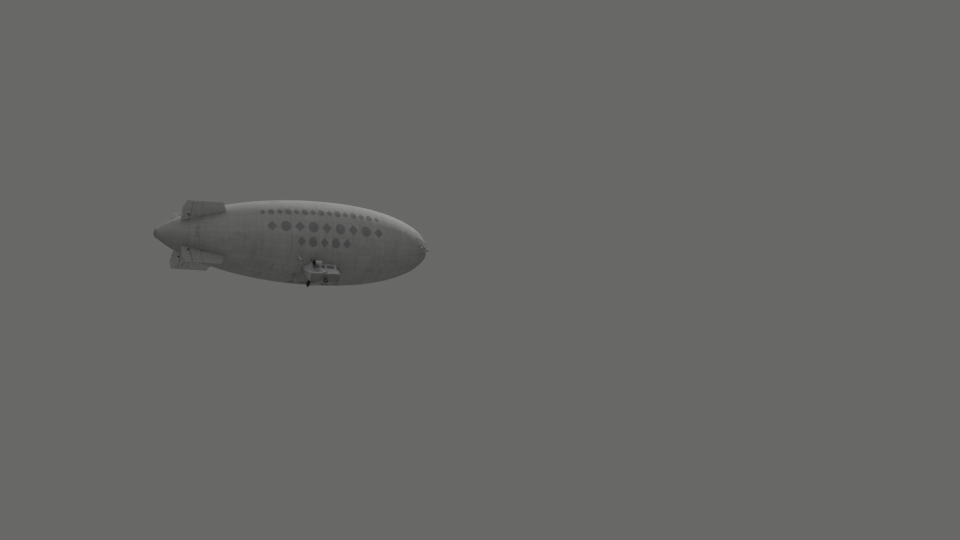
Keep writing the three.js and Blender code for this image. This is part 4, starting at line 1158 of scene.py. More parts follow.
class AIRSHIP_OT_tail(Operator):
    """Stretch the doped cloth over the fins and hang the moving surfaces on their brackets"""

    bl_idname = "airship.tail"
    bl_label = "Fins and moving surfaces"

    def execute(self, context):
        hull, tail = context.scene.airship_hull, context.scene.airship_tail
        hinge_x = hull.lift - tail.hinge
        face_x = hinge_x + tail.thickness / 2 + tail.hinge_gap
        for fin, surface, body, turn in FINS:
            tip = fin_tip(fin, turn)
            turned = rotate(radians(turn), "X")
            heights = hinge_heights(hull, tail, tip)
            # Painted shade on the upright fins and painted light on the level fins: each takes its own tone
            # of the dope.
            look = "upright_fin" if turn % 180 == 0 else "level_fin"

            bm = fixed_fin(hull, tail, tip)
            bm.transform(turned)
            piece(f"{fin}_cloth", bm, look, fin, crease=50)

            bm = moving_fin(hull, tail, tip)
            bm.transform(turned)
            moving = piece(f"{surface}_cloth", bm, look, surface, body=body, crease=50)
            tool = bmesh.new()
            for height in heights:
                block(tool, (hinge_x - 0.2, -0.5, height - 0.032), (hinge_x + 0.054, 0.5, height + 0.032))
            tool.transform(turned)
            carve(moving, tool)

            bm = bmesh.new()
            for height in heights:
                block(bm, (hinge_x - 0.005, -0.028, height - 0.02), (face_x + 0.03, 0.028, height + 0.02),
                      0.006)
                rod(bm, (hinge_x, 0, height - 0.02), (hinge_x, 0, height + 0.02), 0.042, sides=24)
                block(bm, (face_x - 0.004, -0.07, height - 0.05), (face_x + 0.004, 0.07, height + 0.05),
                      0.003)
            bm.transform(turned)
            piece(f"{fin}_hinge_brackets", bm, "steel")

            bm = bmesh.new()
            for height in heights:
                rod(bm, (hinge_x, 0, height - 0.04), (hinge_x, 0, height + 0.04), 0.014)
            horn_height = heights[0] + HORN_RISE
            outline = [(hinge_x - 0.12, -tail.horn), (hinge_x - 0.10, 0), (hinge_x - 0.12, tail.horn),
                       (hinge_x - 0.15, tail.horn), (hinge_x - 0.38, 0.03), (hinge_x - 0.38, -0.03),
                       (hinge_x - 0.15, -tail.horn)]
            plate(bm, outline, 0.010, move((0, 0, horn_height)))
            for side in (1, -1):
                tip_point = (hinge_x - HORN_PIN, side * (tail.horn - 0.02))
                rod(bm, (*tip_point, horn_height - 0.016), (*tip_point, horn_height + 0.016), 0.012)
                block(bm, (hinge_x - 0.37, side * 0.079, horn_height - 0.05),
                      (hinge_x - 0.11, side * 0.086, horn_height + 0.05), 0.003)
            bm.transform(turned)
            piece(f"{surface}_horn", bm, "steel", body=body)
            root_strip(hull, tail, fin, turned)
        return {"FINISHED"}


# Rigging
PATCH_STATION = 33.1  # middle of the cloth patches that the stays pull at
STAY_STATIONS = (32.7, 33.6)  # where the stays meet the fins
STAY_REACH = 0.85  # share of a fin's height at which its stays are fixed


def turnbuckle(bm, start, end, at):
    """A barrel on a wire, a share of the way from its start."""
    start, end = Vector(start), Vector(end)
    axis = (end - start).normalized()
    middle = start.lerp(end, at)
    half = [(0, 0.017), (0.03, 0.022), (0.1, 0.02), (0.12, 0.012), (0.16, 0.007), (0.16, 0)]
    other = [(-along, radius) for along, radius in reversed(half[1:])]
    lathe(bm, other + half, middle, axis, 12)


def finger_patch(bm, hull, bearing):
    """Cloth fingers that spread the pull of the stays over the hull."""
    place = hull_frame(hull, PATCH_STATION, bearing)
    lathe(bm, [(0, 0), (0, 0.17), (0.012, 0.165), (0.02, 0.12), (0.022, 0)], place.translation,
          place.to_3x3() @ Y, 24)
    for angle in turns(8):
        for part, width in ((0.2, 0.06), (0.34, 0.05), (0.48, 0.036)):
            station = PATCH_STATION + part * cos(angle)
            around = part * sin(angle) / hull_radius(hull, station)
            finger = hull_frame(hull, station, bearing + around) @ rotate(-angle, "Y")
            block(bm, (-width, -0.006, -0.085), (width, 0.007, 0.085), 0.005, finger)


def control_cables(hull, tail, tips):
    """Each horn is pulled by two cables, which run over fairleads on the fin into the hull."""
    hinge_x = hull.lift - tail.hinge
    for fin, surface, body, turn in FINS:
        turned = rotate(radians(turn), "X")
        height = hinge_heights(hull, tail, tips[fin])[0] + HORN_RISE
        fixed = bmesh.new()
        for side, name in ((1, "a"), (-1, "b")):
            horn = Vector((hinge_x - HORN_PIN, side * (tail.horn - 0.02), height))
            lead = Vector((hinge_x + 1.9, side * 0.2, height - 0.1))
            far = hull_point(hull, 30.4, side * 0.16, 0.01)
            loose = horn.lerp(lead, 0.32)
            bm = bmesh.new()
            pipe(bm, [horn.lerp(loose, i / 10) for i in range(11)], 0.005, 6)
            bm.transform(turned)
            cable = piece(f"{surface}_cable_{name}", bm, "wire", body=None)
            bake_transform(cable, body, "hull", start=turned @ horn, end=turned @ loose)
            pipe(fixed, [loose, lead, far], 0.005, 6)
            rod(fixed, (lead.x, side * 0.07, lead.z), lead, 0.014, 0.01)
            ball(fixed, lead, (0.03, 0.018, 0.03), 12)
            low, high = (lead.x - 0.07, side * 0.082, lead.z - 0.05), (lead.x + 0.07, side * 0.09,
                                                                       lead.z + 0.05)
            block(fixed, low, high, 0.003)
        fixed.transform(turned)
        piece(f"{fin}_fairleads", fixed, "wire")


class AIRSHIP_OT_rigging(Operator):
    """Brace the fins with stay wires and run the control cables to the horns"""

    bl_idname = "airship.rigging"
    bl_label = "Stays and control cables"

    def execute(self, context):
        hull, tail = context.scene.airship_hull, context.scene.airship_tail
        tips = {fin: fin_tip(fin, turn) for fin, _, _, turn in FINS}
        clusters = (
            # node of the stays, bearing of their patch from the top towards port, two fins with bearings
            ("stays_upper_port", 45, (("top_fin", 0), ("port_fin", 90))),
            ("stays_lower_port", 135, (("port_fin", 90), ("bottom_fin", 180))),
            ("stays_lower_starboard", 225, (("bottom_fin", 180), ("starboard_fin", 270))),
            ("stays_upper_starboard", 315, (("starboard_fin", 270), ("top_fin", 360))),
        )
        for node, bearing, fins in clusters:
            middle = radians(bearing)
            bm, patch = bmesh.new(), bmesh.new()
            finger_patch(patch, hull, middle)
            for fin, fin_bearing in fins:
                for station in STAY_STATIONS:
                    side = copysign(1, bearing - fin_bearing)
                    height = mix(hull_radius(hull, station), tips[fin], STAY_REACH)
                    aside = atan2(tail.thickness / 2 * 0.95, height)
                    angle = radians(fin_bearing) + side * aside
                    end = (hull.lift - station) * X + from_x(angle, height)
                    foot_station = PATCH_STATION + copysign(0.126, station - PATCH_STATION)
                    foot = hull_point(hull, foot_station, middle - side * 0.026, 0.02)
                    rod(bm, foot, end, tail.wire, sides=8)
                    turnbuckle(bm, foot, end, 0.14)
                    ball(bm, end, 0.022, 10)
                    ball(bm, foot, 0.025, 10)
            piece(node + "_wires", bm, "wire", node)
            piece(node + "_patch", patch, "hull")
        control_cables(hull, tail, tips)
        return {"FINISHED"}


# Car
WINDOWS = (
    # side, from, to along X
    (1, 0.2, 1.1), (1, 1.25, 2.15), (1, 2.3, 3.15), (-1, 0.2, 1.15), (-1, 2.2, 3.15),
)
NOSE_WINDOWS = ((-52, 0.48), (0, 0.52), (52, 0.48))  # bearing in degrees and width


def car_outline(car, offset, steps=40):
    """Plan of the car as (x, y) points from the rear starboard corner round the nose to port."""
    width = car.half_width + offset
    points = [(0.0, -width), (car.nose_start * 0.5, -width), (car.nose_start, -width)]
    for i in range(1, steps):
        turn = pi * (i / steps - 0.5)
        reach = car.front - car.nose_start + offset
        points.append((car.nose_start + reach * cos(turn), width * sin(turn)))
    return [*points, (car.nose_start, width), (car.nose_start * 0.5, width), (0.0, width)]


def door_edges():
    """Places of the door leaf's rear and front edge. Its window lies midway between them."""
    low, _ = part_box("door")
    rear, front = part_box("door_glass")
    return low.x, rear.x + front.x - low.x


def window_frame(bm, side, x0, x1, z0, z1, y, width, depth):
    """A beading round a window in a side wall, standing out from the plane at y."""
    corners = [bm.verts.new((x, side * y, z)) for x, z in ((x0, z0), (x1, z0), (x1, z1), (x0, z1))]
    face = bm.faces.new(corners)
    face.normal_update()
    inset = {"thickness": width, "use_boundary": True, "use_even_offset": True}
    rim = bmesh.ops.inset_region(bm, faces=[face], **inset)["faces"]
    bmesh.ops.delete(bm, geom=[face], context="FACES_ONLY")
    made = bmesh.ops.extrude_face_region(bm, geom=rim, use_keep_orig=True)
    moved = verts_of(made)
    bmesh.ops.translate(bm, vec=(0, side * depth, 0), verts=moved)
    outer = [e for v in moved for e in v.link_edges if e.other_vert(v) in moved]
    sharp = [e for e in outer if e.calc_face_angle(0) > 1]
    edges = [e for i, e in enumerate(sharp) if e not in sharp[:i]]
    round_edges(bm, edges, depth * 0.4)


def car_window_frames(car):
    bm = bmesh.new()
    edge = car.frame * 0.6
    for side, x0, x1 in WINDOWS:
        opening = (x0 - edge, x1 + edge, car.sill - edge, car.lintel + edge)
        window_frame(bm, side, *opening, car.half_width - 0.004, car.frame, 0.016)
        window_frame(bm, -side, *opening, -(car.half_width - car.wall + 0.002), car.frame, 0.012)
        middle = (x0 + x1) / 2
        y = side * (car.half_width - car.wall + 0.004)
        block(bm, (middle - 0.012, y - 0.012, car.sill), (middle + 0.012, y + 0.012, car.lintel), 0.004)
    for bearing, width in NOSE_WINDOWS:
        turn = move((car.nose_start, 0, 0)) @ rotate(radians(bearing), "Z")
        for height in (car.sill, car.lintel):
            pipe(bm, nose_line(car, turn, width + 0.02, height, 12), 0.014, 8)
        for across in (-width / 2, width / 2):
            foot = nose_line(car, turn, 2 * abs(across), car.sill, 1)[0 if across < 0 else -1]
            rod(bm, foot, (foot.x, foot.y, car.lintel), 0.014, sides=10)
    piece("window_frames", bm, "alloy")


def nose_line(car, turn, width, height, steps):
    """Points on the nose wall across a window."""
    points = []
    for i in range(steps + 1):
        y = mix(-width / 2, width / 2, i / steps)
        low, high = 0.0, 1.2
        for _ in range(30):
            reach = (low + high) / 2
            at = turn @ Vector((reach, y, 0))
            along = (at.x - car.nose_start) / (car.front - car.nose_start)
            inside = along**2 + (at.y / car.half_width) ** 2 < 1
            low, high = (reach, high) if inside else (low, reach)
        at = turn @ Vector((reach - 0.002, y, 0))
        points.append(Vector((at.x, at.y, height)))
    return points


def car_mouldings(car):
    bm, door = bmesh.new(), bmesh.new()
    outline = car_outline(car, 0.001)
    for height, radius in ((car.top - 0.033, 0.02), (car.top + 0.004, 0.014)):
        pipe(bm, [(x, y, height) for x, y in outline], radius, 8)

    # The belt is cut at the door, and the door carries its own length.
    belt, y = car.sill - 0.1, outline[0][1]
    rear, front = door_edges()
    pipe(bm, [(0, y, belt), (rear - 0.006, y, belt)], 0.014, 8)
    pipe(bm, [(x, y, belt) for x, y in [(front + 0.006, y), *outline[2:]]], 0.014, 8)
    pipe(door, [(rear + 0.002, y, belt), (front - 0.004, y, belt)], 0.014, 8)
    piece("door_moulding", door, "sheet", body="door_leaf")
    for side in (1, -1):
        y = side * (car.half_width + 0.002)
        pipe(bm, [(0, y, car.bottom + 0.3), (0, y, car.top)], 0.012, 8)
    piece("car_mouldings", bm, "sheet")

    # A row of bolts holds the fairing to the roof.
    bm = bmesh.new()
    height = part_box("car_fairing")[0].z + 0.05
    outline = [Vector((x, y, height)) for x, y in car_outline(car, 0, 60)]
    for spot, ahead in evenly(outline, 0.14):
        out = ahead.cross(Z)
        rod(bm, spot - out * 0.003, spot + out * 0.008, 0.008, sides=6)
    piece("fairing_bolts", bm, "steel")


def door_fittings(car):
    rear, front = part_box("door_glass")
    lap = 0.01
    bm = bmesh.new()
    opening = (rear.x + lap, front.x - lap, car.sill - 0.02, car.lintel + 0.02)
    window_frame(bm, -1, *opening, car.half_width - 0.004, car.frame, 0.016)
    x, z = door_edges()[0] + 0.07, car.sill - 0.3
    for y, reach in ((-car.half_width, -0.045), (-car.half_width + car.wall, 0.045)):
        rod(bm, (x, y, z), (x, y + reach, z), 0.011)
        block(bm, (x - 0.012, y + reach - 0.008, z - 0.012), (x + 0.12, y + reach + 0.008, z + 0.012), 0.006)
        lathe(bm, [(-0.004, 0), (-0.004, 0.028), (0.004, 0.026), (0.006, 0)], (x, y + reach * 0.06, z), Y, 20)
    piece("door_frame_and_handles", bm, "alloy", body="door_leaf")


def car_lamps(car):
    bm = bmesh.new()
    lamp_x, lamp_y, lamp_z = 3.22, car.half_width + 0.02, car.top - 0.13
    shell = [(-0.04, 0), (-0.04, 0.05), (0, 0.052), (0.012, 0.045), (0.012, 0)]
    for _, side in SIDES:
        lathe(bm, shell, (lamp_x, side * lamp_y, lamp_z), side * Y, 24)
    bowl = Vector((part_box("car_nose")[1].x, 0, car.lamp))
    hoop(bm, bowl, X, 0.088, 0.009, 40, 8)
    for angle in turns(3):
        clip = bowl + from_x(angle, 0.096)
        rod(bm, clip - 0.03 * X, clip + 0.008 * X, 0.007, sides=8)
    piece("lamp_housings", bm, "sheet")
    for (name, side), look in zip(SIDES, ("red_lamp", "green_lamp")):
        bm = bmesh.new()
        lens = [(0.01, 0), (0.01, 0.042), (0.03, 0.036), (0.045, 0.02), (0.05, 0)]
        lathe(bm, lens, (lamp_x, side * lamp_y, lamp_z), side * Y, 24)
        piece(f"{name}_lamp", bm, look)
    bm = bmesh.new()
    lathe(bm, [(-0.012, 0), (-0.012, 0.079), (-0.002, 0.07), (0.006, 0.045), (0.009, 0)], bowl, X, 32)
    piece("landing_lamp", bm, "clear_lamp")


class AIRSHIP_OT_car(Operator):
    """Round the car's panels and fit its frames, mouldings, handles and lamps"""

    bl_idname = "airship.car"
    bl_label = "Car"

    panels = ("car_floor", "car_roof", "port_side", "starboard_side", "car_nose", "car_tail", "door")
    panes = ("port_glass", "starboard_rear_glass", "starboard_front_glass", "windshield", "door_glass")

    def execute(self, context):
        car = context.scene.airship_car
        for node in self.panels:
            dressed(node, f"{node}_panel", "sheet", car.bevel)
        for node in self.panes:
            dressed(node, f"{node}_pane", "glass", 0.001)
        dressed("car_fairing", "car_fairing_cloth", "hull", 0.02)
        car_window_frames(car)
        car_mouldings(car)
        door_fittings(car)
        car_lamps(car)
        return {"FINISHED"}


# Interior
def cushion(bm, low, high, crown, tufts):
    """A stuffed cushion: a fine block whose faces swell between its buttons and whose corners pull in."""
    low, high = Vector(low), Vector(high)
    size, centre = (high - low) / 2, (low + high) / 2
    before = len(bm.verts)
    made = bmesh.ops.create_cube(bm, size=2)["verts"]
    edges = [e for e in bm.edges if e.verts[0] in made]
    bmesh.ops.subdivide_edges(bm, edges=edges, cuts=14, use_grid_fill=True)
    across, along = tufts
    for vert in bm.verts[before:]:
        point = vert.co.copy()
        inner = [1 - abs(value) ** 6 for value in point]
        rounded = Vector([value * (1 - 0.06 * (1 - inner[(i + 1) % 3]) * (1 - inner[(i + 2) % 3]))
                          for i, value in enumerate(point)])
        swell = abs(sin(across * pi * (point.x + 1) / 2) * sin(along * pi * (point.y + 1) / 2))
        height = crown / size.z * (0.35 + 0.65 * swell**0.5) * inner[0] * inner[1]
        rounded.z += height * copysign(abs(point.z) ** 4, point.z)
        vert.co = centre + Vector([value * half for value, half in zip(rounded, size)])


def seat(node, tufts):
    low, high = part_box(node)
    pan = low.z + 0.35
    bm = bmesh.new()
    cushion(bm, (low.x + 0.06, low.y + 0.01, pan + 0.01), (high.x, high.y - 0.01, pan + 0.085), 0.012,
            (2, tufts))
    back = bmesh.new()
    cushion(back, (-0.28, low.y + 0.01, -0.035), (0.28, high.y - 0.01, 0.03), 0.012, (2, tufts))
    lean = move((low.x + 0.045, 0, pan + 0.34)) @ rotate(radians(90), "Y")
    back.transform(lean)
    finished = bpy.data.meshes.new("back")
    back.to_mesh(finished)
    back.free()
    bm.from_mesh(finished)
    bpy.data.meshes.remove(finished)
    pad = piece(f"{node}_pads", bm, "leather", node, crease=60)
    bm = bmesh.new()
    legs = [(x, y) for x in (low.x + 0.1, high.x - 0.08) for y in (low.y + 0.08, high.y - 0.08)]
    for x, y in legs:
        rod(bm, (x, y, low.z), (x, y, pan), 0.014)
        lathe(bm, [(0, 0), (0, 0.03), (0.006, 0.03), (0.012, 0.016), (0.012, 0)], (x, y, low.z), Z, 16)
    block(bm, (low.x + 0.07, low.y + 0.03, pan - 0.015), (high.x - 0.02, high.y - 0.03, pan + 0.012), 0.006)
    for y in (low.y + 0.05, high.y - 0.05):
        upright = [(low.x + 0.1, y, pan), (low.x + 0.015, y, pan + 0.06), (low.x + 0.008, y, pan + 0.3),
                   (low.x + 0.012, y, pan + 0.6)]
        pipe(bm, smooth_path(upright, 5), 0.011)
    piece(f"{node}_frame", bm, "alloy")


def instruments():
    low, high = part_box("instrument_panel")
    board = bmesh.new()
    block(board, (high.x - 0.08, low.y, -7.08), (high.x - 0.055, high.y, high.z), 0.008)
    block(board, (high.x - 0.09, -0.11, low.z), (high.x - 0.03, 0.11, -7.06), 0.01)
    piece("instrument_board", board, "wood", "instrument_panel")
    dials, hands = bmesh.new(), bmesh.new()
    face_x = high.x - 0.08
    rows = ((-6.81, 0.05), (-6.96, 0.036))  # height of a row and radius of its dials
    for row, (height, radius) in enumerate(rows):
        for i in range(6):
            y = mix(low.y + 0.09, high.y - 0.09, i / 5)
            lathe(dials, [(0.012, 0), (0.012, radius), (-0.006, radius), (-0.01, radius * 0.86),
                          (0, radius * 0.8), (0.002, 0)], (face_x, y, height), X, 28)
            for angle in turns(12):
                spot = Vector((face_x - 0.001, y, height)) + from_x(angle, 0.68 * radius)
                ball(hands, spot, (0.001, 0.0028, 0.0028), 6)
            angle = 0.6 + 1.9 * i + row
            hand = from_x(angle, 0.6 * radius)
            centre = Vector((face_x - 0.002, y, height))
            rod(hands, centre, centre + hand, 0.0016, 0.0005, 6)
    piece("dials", dials, "steel")
    piece("dial_hands", hands, "alloy")


def handwheel_and_pedals():
    low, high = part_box("elevator_wheel")
    centre = Vector(((low.x + high.x) / 2, 0, high.z - (high.x - low.x) / 2))
    radius = (high.x - low.x) / 2 - 0.016
    bm = bmesh.new()
    hoop(bm, centre, Y, radius, 0.016, 64, 12)
    for angle in turns(6):
        out = from_y(angle)
        lathe(bm, [(0.03, 0), (0.03, 0.011), (0.09, 0.015), (0.14, 0.009), (radius, 0.011), (radius, 0)],
              centre, out, 12)
        grip = [(radius, 0), (radius, 0.009), (radius + 0.02, 0.013), (radius + 0.034, 0.009),
                (radius + 0.036, 0)]
        lathe(bm, grip, centre, out, 12)
    lathe(bm, [(-0.07, 0), (-0.07, 0.03), (-0.02, 0.038), (0.03, 0.034), (0.036, 0)], centre, Y, 24)
    piece("elevator_handwheel", bm, "wood", "elevator_wheel")
    bm = bmesh.new()
    block(bm, (centre.x - 0.03, -0.07, low.z), (centre.x + 0.03, -0.04, centre.z + 0.02), 0.006)
    block(bm, (centre.x - 0.07, -0.09, low.z), (centre.x + 0.07, -0.02, low.z + 0.012), 0.003)
    low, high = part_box("rudder_pedals")
    for y in (low.y + 0.06, high.y - 0.06):
        block(bm, (3.152, y - 0.055, low.z + 0.07), (3.168, y + 0.055, high.z), 0.006)
        for rib in range(5):
            z = low.z + 0.1 + rib * 0.035
            rod(bm, (3.15, y - 0.05, z), (3.15, y + 0.05, z), 0.005, sides=8)
    rod(bm, (3.162, low.y, low.z + 0.08), (3.162, high.y, low.z + 0.08), 0.016)
    block(bm, (3.13, 0.3, low.z), (3.195, 0.38, low.z + 0.1), 0.008)
    piece("pedals_and_stand", bm, "steel", "rudder_pedals")


class AIRSHIP_OT_interior(Operator):
    """Fit the seats, instruments, wheel and pedals"""

    bl_idname = "airship.interior"
    bl_label = "Interior"

    def execute(self, context):
        for node, tufts in (("pilot_seat", 2), ("copilot_seat", 2), ("passenger_bench", 5)):
            seat(node, tufts)
        instruments()
        handwheel_and_pedals()
        return {"FINISHED"}


# Engines
def nacelle(engine, name, centre):
    r = engine.nacelle
    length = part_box(f"{name}_nacelle")[1].x - centre.x
    bm = bmesh.new()
    body = [(0.0, 0), (0.0, r - 0.03), (0.02, r - 0.018), (0.12, r)]
    for i in range(1, 25):
        turn = pi / 2 * i / 24
        body.append((mix(0.62, length, sin(turn)), r * cos(turn) ** 0.9))
    lathe(bm, body, centre, steps=56)
    for x in (0.13, 0.62):
        hoop(bm, centre + x * X, X, r, 0.006, 56, 8)
    for angle in turns(10, pi / 10):
        out = from_x(angle)
        for i in range(4):
            at = centre + out * (r - 0.004) + (0.2 + 0.045 * i) * X
            place = move(at) @ rotate(-angle, "X") @ rotate(0.5, "Y")
            block(bm, (-0.016, -0.045, -0.004), (0.016, 0.045, 0.006), 0.003, place)
    piece(f"{name}_nacelle_cowl", bm, "sheet", f"{name}_nacelle")


def motor(engine, name, centre):
    bm = bmesh.new()
    case = engine.case
    length = engine.case_length
    lathe(bm, [(-0.0003, 0), (-0.0003, case + 0.04), (-0.03, case + 0.04), (-0.045, case + 0.01),
               (-0.06, case), (-0.1, case), (-0.105, case + 0.008), (-0.195, case + 0.008), (-0.2, case),
               (-0.235, case * 0.95), (-0.27, case * 0.72), (-0.3, case * 0.55), (-length, 0.085),
               (-length, 0.034), (-length + 0.08, 0.034), (-length + 0.08, 0)], centre, steps=56)
    for angle in turns(engine.cylinders):
        out = from_x(angle)
        foot = centre + engine.cylinder_x * X
        profile = [(case - 0.02, 0.0), (case - 0.02, 0.052), (case + 0.012, 0.052), (case + 0.014, 0.044)]
        start, end = case + 0.02, engine.reach - 0.075
        for i in range(engine.cooling_fins):
            at = mix(start, end, i / (engine.cooling_fins - 1))
            profile += [(at - 0.0055, 0.044), (at - 0.002, 0.058), (at + 0.002, 0.058), (at + 0.0055, 0.044)]
        profile += [(end + 0.01, 0.044), (end + 0.012, 0.056), (engine.reach - 0.03, 0.056),
                    (engine.reach - 0.008, 0.044), (engine.reach - 0.006, 0)]
        lathe(bm, profile, foot, out, 24)
        around = X.cross(out)
        for side in (1, -1):
            head = foot + out * (engine.reach - 0.03) + around * side * 0.03
            place = move(head) @ Matrix((X, around, out)).transposed().to_4x4()
            block(bm, (-0.05, -0.016, -0.02), (0.035, 0.016, 0.022), 0.007, place)
            tappet = centre - 0.205 * X + out * case * 0.93 + around * side * 0.03
            rod(bm, tappet, head - 0.045 * X, 0.006, sides=8)
        intake = [foot + 0.1 * X + out * case, foot + 0.1 * X + out * 0.3,
                  foot + 0.07 * X + out * 0.37, foot + 0.03 * X + out * 0.4]
        pipe(bm, smooth_path(intake, 6), 0.018)
    bolts(bm, [centre - 0.238 * X + from_x(angle, case * 0.86) for angle in turns(9)], -0.014 * X, 0.009)
    for side in (1, -1):
        rod(bm, centre + Vector((-0.25, 0.07 * side, 0.1)), centre + Vector((-0.36, 0.085 * side, 0.13)),
            0.03, 0.026)
    piece(f"{name}_radial", bm, "engine", f"{name}_engine")


def exhaust(engine, name, centre):
    bm = bmesh.new()
    hoop(bm, centre - 0.08 * X, X, 0.33, 0.026, 72, 14)
    for angle in turns(engine.cylinders, 0.16):
        out = from_x(angle)
        stub = [centre - 0.08 * X + out * 0.335, centre - 0.1 * X + out * 0.38,
                centre - 0.145 * X + out * 0.395]
        pipe(bm, smooth_path(stub, 5), 0.016, 10)
    bend = ((-0.08, 0, -0.33), (-0.07, 0, -0.385), (-0.02, 0, -0.425), (0.04, 0, -0.47))
    bend = [centre + Vector(point) for point in bend]
    pipe(bm, smooth_path(bend, 8), 0.03, 16)
    mouth = [(-0.01, 0), (-0.01, 0.031), (0.038, 0.034), (0.038, 0.029), (0.002, 0.025), (0.002, 0)]
    lathe(bm, mouth, bend[-1], bend[-1] - bend[-2], 24)
    piece(f"{name}_exhaust", bm, "exhaust")


def propeller(engine, name, centre, side):
    hub = centre + engine.hub * X
    section = [(-0.5, 0.0), (-0.42, 0.34), (-0.2, 0.5), (0.1, 0.42), (0.35, 0.2), (0.5, 0.02), (0.5, -0.06),
               (0.2, -0.18), (-0.2, -0.2), (-0.42, -0.14)]
    bm, sheath = bmesh.new(), bmesh.new()
    for flip in (0, 1):
        base = move(hub) @ rotate(pi * flip, "X")
        places = []
        for i in range(33):
            share = i / 32
            reach = mix(0.05, engine.blade - 0.002, share)
            chord = 0.11 + 0.11 * sin(pi * min(share / 0.9, 1) ** 0.8) + 0.02 * (1 - share)
            chord *= sqrt(max(1 - max(share - 0.86, 0) ** 2 / 0.02, 0.02))
            thick = mix(0.085, 0.014, min(share * 1.15, 1)) if share < 0.87 else 0.013
            twist = side * radians(mix(62, 17, share**0.7))
            turn = rotate(pi / 2 - twist, "Z") @ Matrix.Diagonal((chord, thick, 1, 1))
            places.append(base @ move((0, 0, reach)) @ turn)
        sweep(bm, places, section)
        edge = [(-0.53, 0.0), (-0.44, 0.42), (-0.26, 0.56), (-0.26, 0.44), (-0.26, -0.2), (-0.26, -0.28),
                (-0.44, -0.24)]
        sweep(sheath, places[17:32], edge)
    lathe(bm, [(-0.048, 0), (-0.048, 0.075), (-0.038, 0.085), (0.055, 0.085), (0.066, 0.075), (0.066, 0)],
          hub, steps=40)
    piece(f"{name}_propeller_wood", bm, "wood", f"{name}_propeller", body=f"{name}_propeller_body", crease=40)
    lathe(sheath, [(-0.13, 0), (-0.128, 0.022), (-0.1, 0.052), (-0.062, 0.066), (-0.062, 0.078),
                   (-0.046, 0.078), (-0.046, 0)], hub, steps=40)
    bolts(sheath, [hub - 0.058 * X + from_x(angle, 0.06) for angle in turns(8)], -0.018 * X, 0.008)
    rod(sheath, hub, centre + (0.09 - engine.case_length) * X, 0.03, sides=24)
    piece(f"{name}_propeller_metal", sheath, "alloy", body=f"{name}_propeller_body")


def outrigger(engine, name, centre, side):
    low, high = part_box(f"{name}_outrigger")
    wall = min(abs(low.y), abs(high.y)) * side
    upper_foot, lower_foot = -5.87, -7.35
    bm = bmesh.new()
    stations = (centre.x + 0.28, centre.x + 0.59)
    for x in stations:
        r = engine.nacelle
        band = [(-0.03, r), (-0.03, r + 0.014), (-0.024, r + 0.02), (0.024, r + 0.02), (0.03, r + 0.014),
                (0.03, r)]
        lathe(bm, [*band, band[0]], (x, centre.y, centre.z), steps=56)
        for up, foot in ((1, upper_foot), (-1, lower_foot)):
            reach = r + 0.012
            outer = Vector((x, centre.y - side * reach * 0.5, centre.z + up * reach * 0.86))
            inner = Vector((x, wall + side * 0.012, foot))
            rod(bm, inner, outer, 0.026, sides=18)
            lathe(bm, [(0, 0), (0, 0.045), (0.06, 0.036), (0.09, 0.027), (0.09, 0)], inner, outer - inner, 20)
            lathe(bm, [(0, 0), (0, 0.04), (0.05, 0.034), (0.08, 0.027), (0.08, 0)], outer, inner - outer, 20)
    for foot in (upper_foot, lower_foot):
        y = sorted((wall, wall + side * 0.014))
        block(bm, (stations[0] - 0.05, y[0], foot - 0.045), (stations[1] + 0.05, y[1], foot + 0.045), 0.005)
        for x in (-0.03, 0.155, 0.34):
            spots = [(stations[0] + x, wall + side * 0.012, foot + z) for z in (-0.028, 0.028)]
            bolts(bm, spots, side * 0.012 * Y, 0.009)
    inner = centre.y - side * (engine.nacelle + 0.014)
    rod(bm, (stations[0], inner, centre.z), (stations[1], inner, centre.z), 0.012)
    piece(f"{name}_outrigger_tubes", bm, "alloy", f"{name}_outrigger")
    wires = bmesh.new()
    for up, down in ((-5.9, centre.z - 0.27), (-7.32, centre.z + 0.27)):
        for first, last in (stations, stations[::-1]):
            start, end = (first, wall + side * 0.012, up), (last, centre.y - side * 0.15, down)
            rod(wires, start, end, 0.004, sides=8)
    piece(f"{name}_outrigger_wires", wires, "wire")


class AIRSHIP_OT_engines(Operator):
    """Build the two radial engines, their nacelles, outriggers and propellers"""

    bl_idname = "airship.engines"
    bl_label = "Engines"

    def execute(self, context):
        engine = context.scene.airship_engine
        for name, side in SIDES:
            low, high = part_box(f"{name}_nacelle")
            centre = Vector((low.x, (low.y + high.y) / 2, (low.z + high.z) / 2))
            nacelle(engine, name, centre)
            motor(engine, name, centre)
            exhaust(engine, name, centre)
            propeller(engine, name, centre, side)
            outrigger(engine, name, centre, side)
        return {"FINISHED"}


# Gear and underside
def gear_housing():
    low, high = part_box("gear_housing")
    centre = (low + high) / 2
    depth = high.z - low.z
    top, foot = (high.x - low.x) / 2, 0.085
    bm = bmesh.new()
    flare = [(depth - 0.03, top - 0.03), (depth - 0.014, top - 0.01), (depth - 0.012, top), (depth, top)]
    outline = [(0, 0.032), (0, foot), (0.012, foot + 0.006), (0.03, foot), *flare, (depth, 0.032), (0, 0.032)]
    lathe(bm, outline, (centre.x, centre.y, low.z), Z, 48)
    ring = [(centre.x + x, y, high.z - 0.02) for x, y in circle(top - 0.012, 12)]
    bolts(bm, ring, 0.012 * Z, 0.007)
    piece("gear_column", bm, "sheet", "gear_housing")


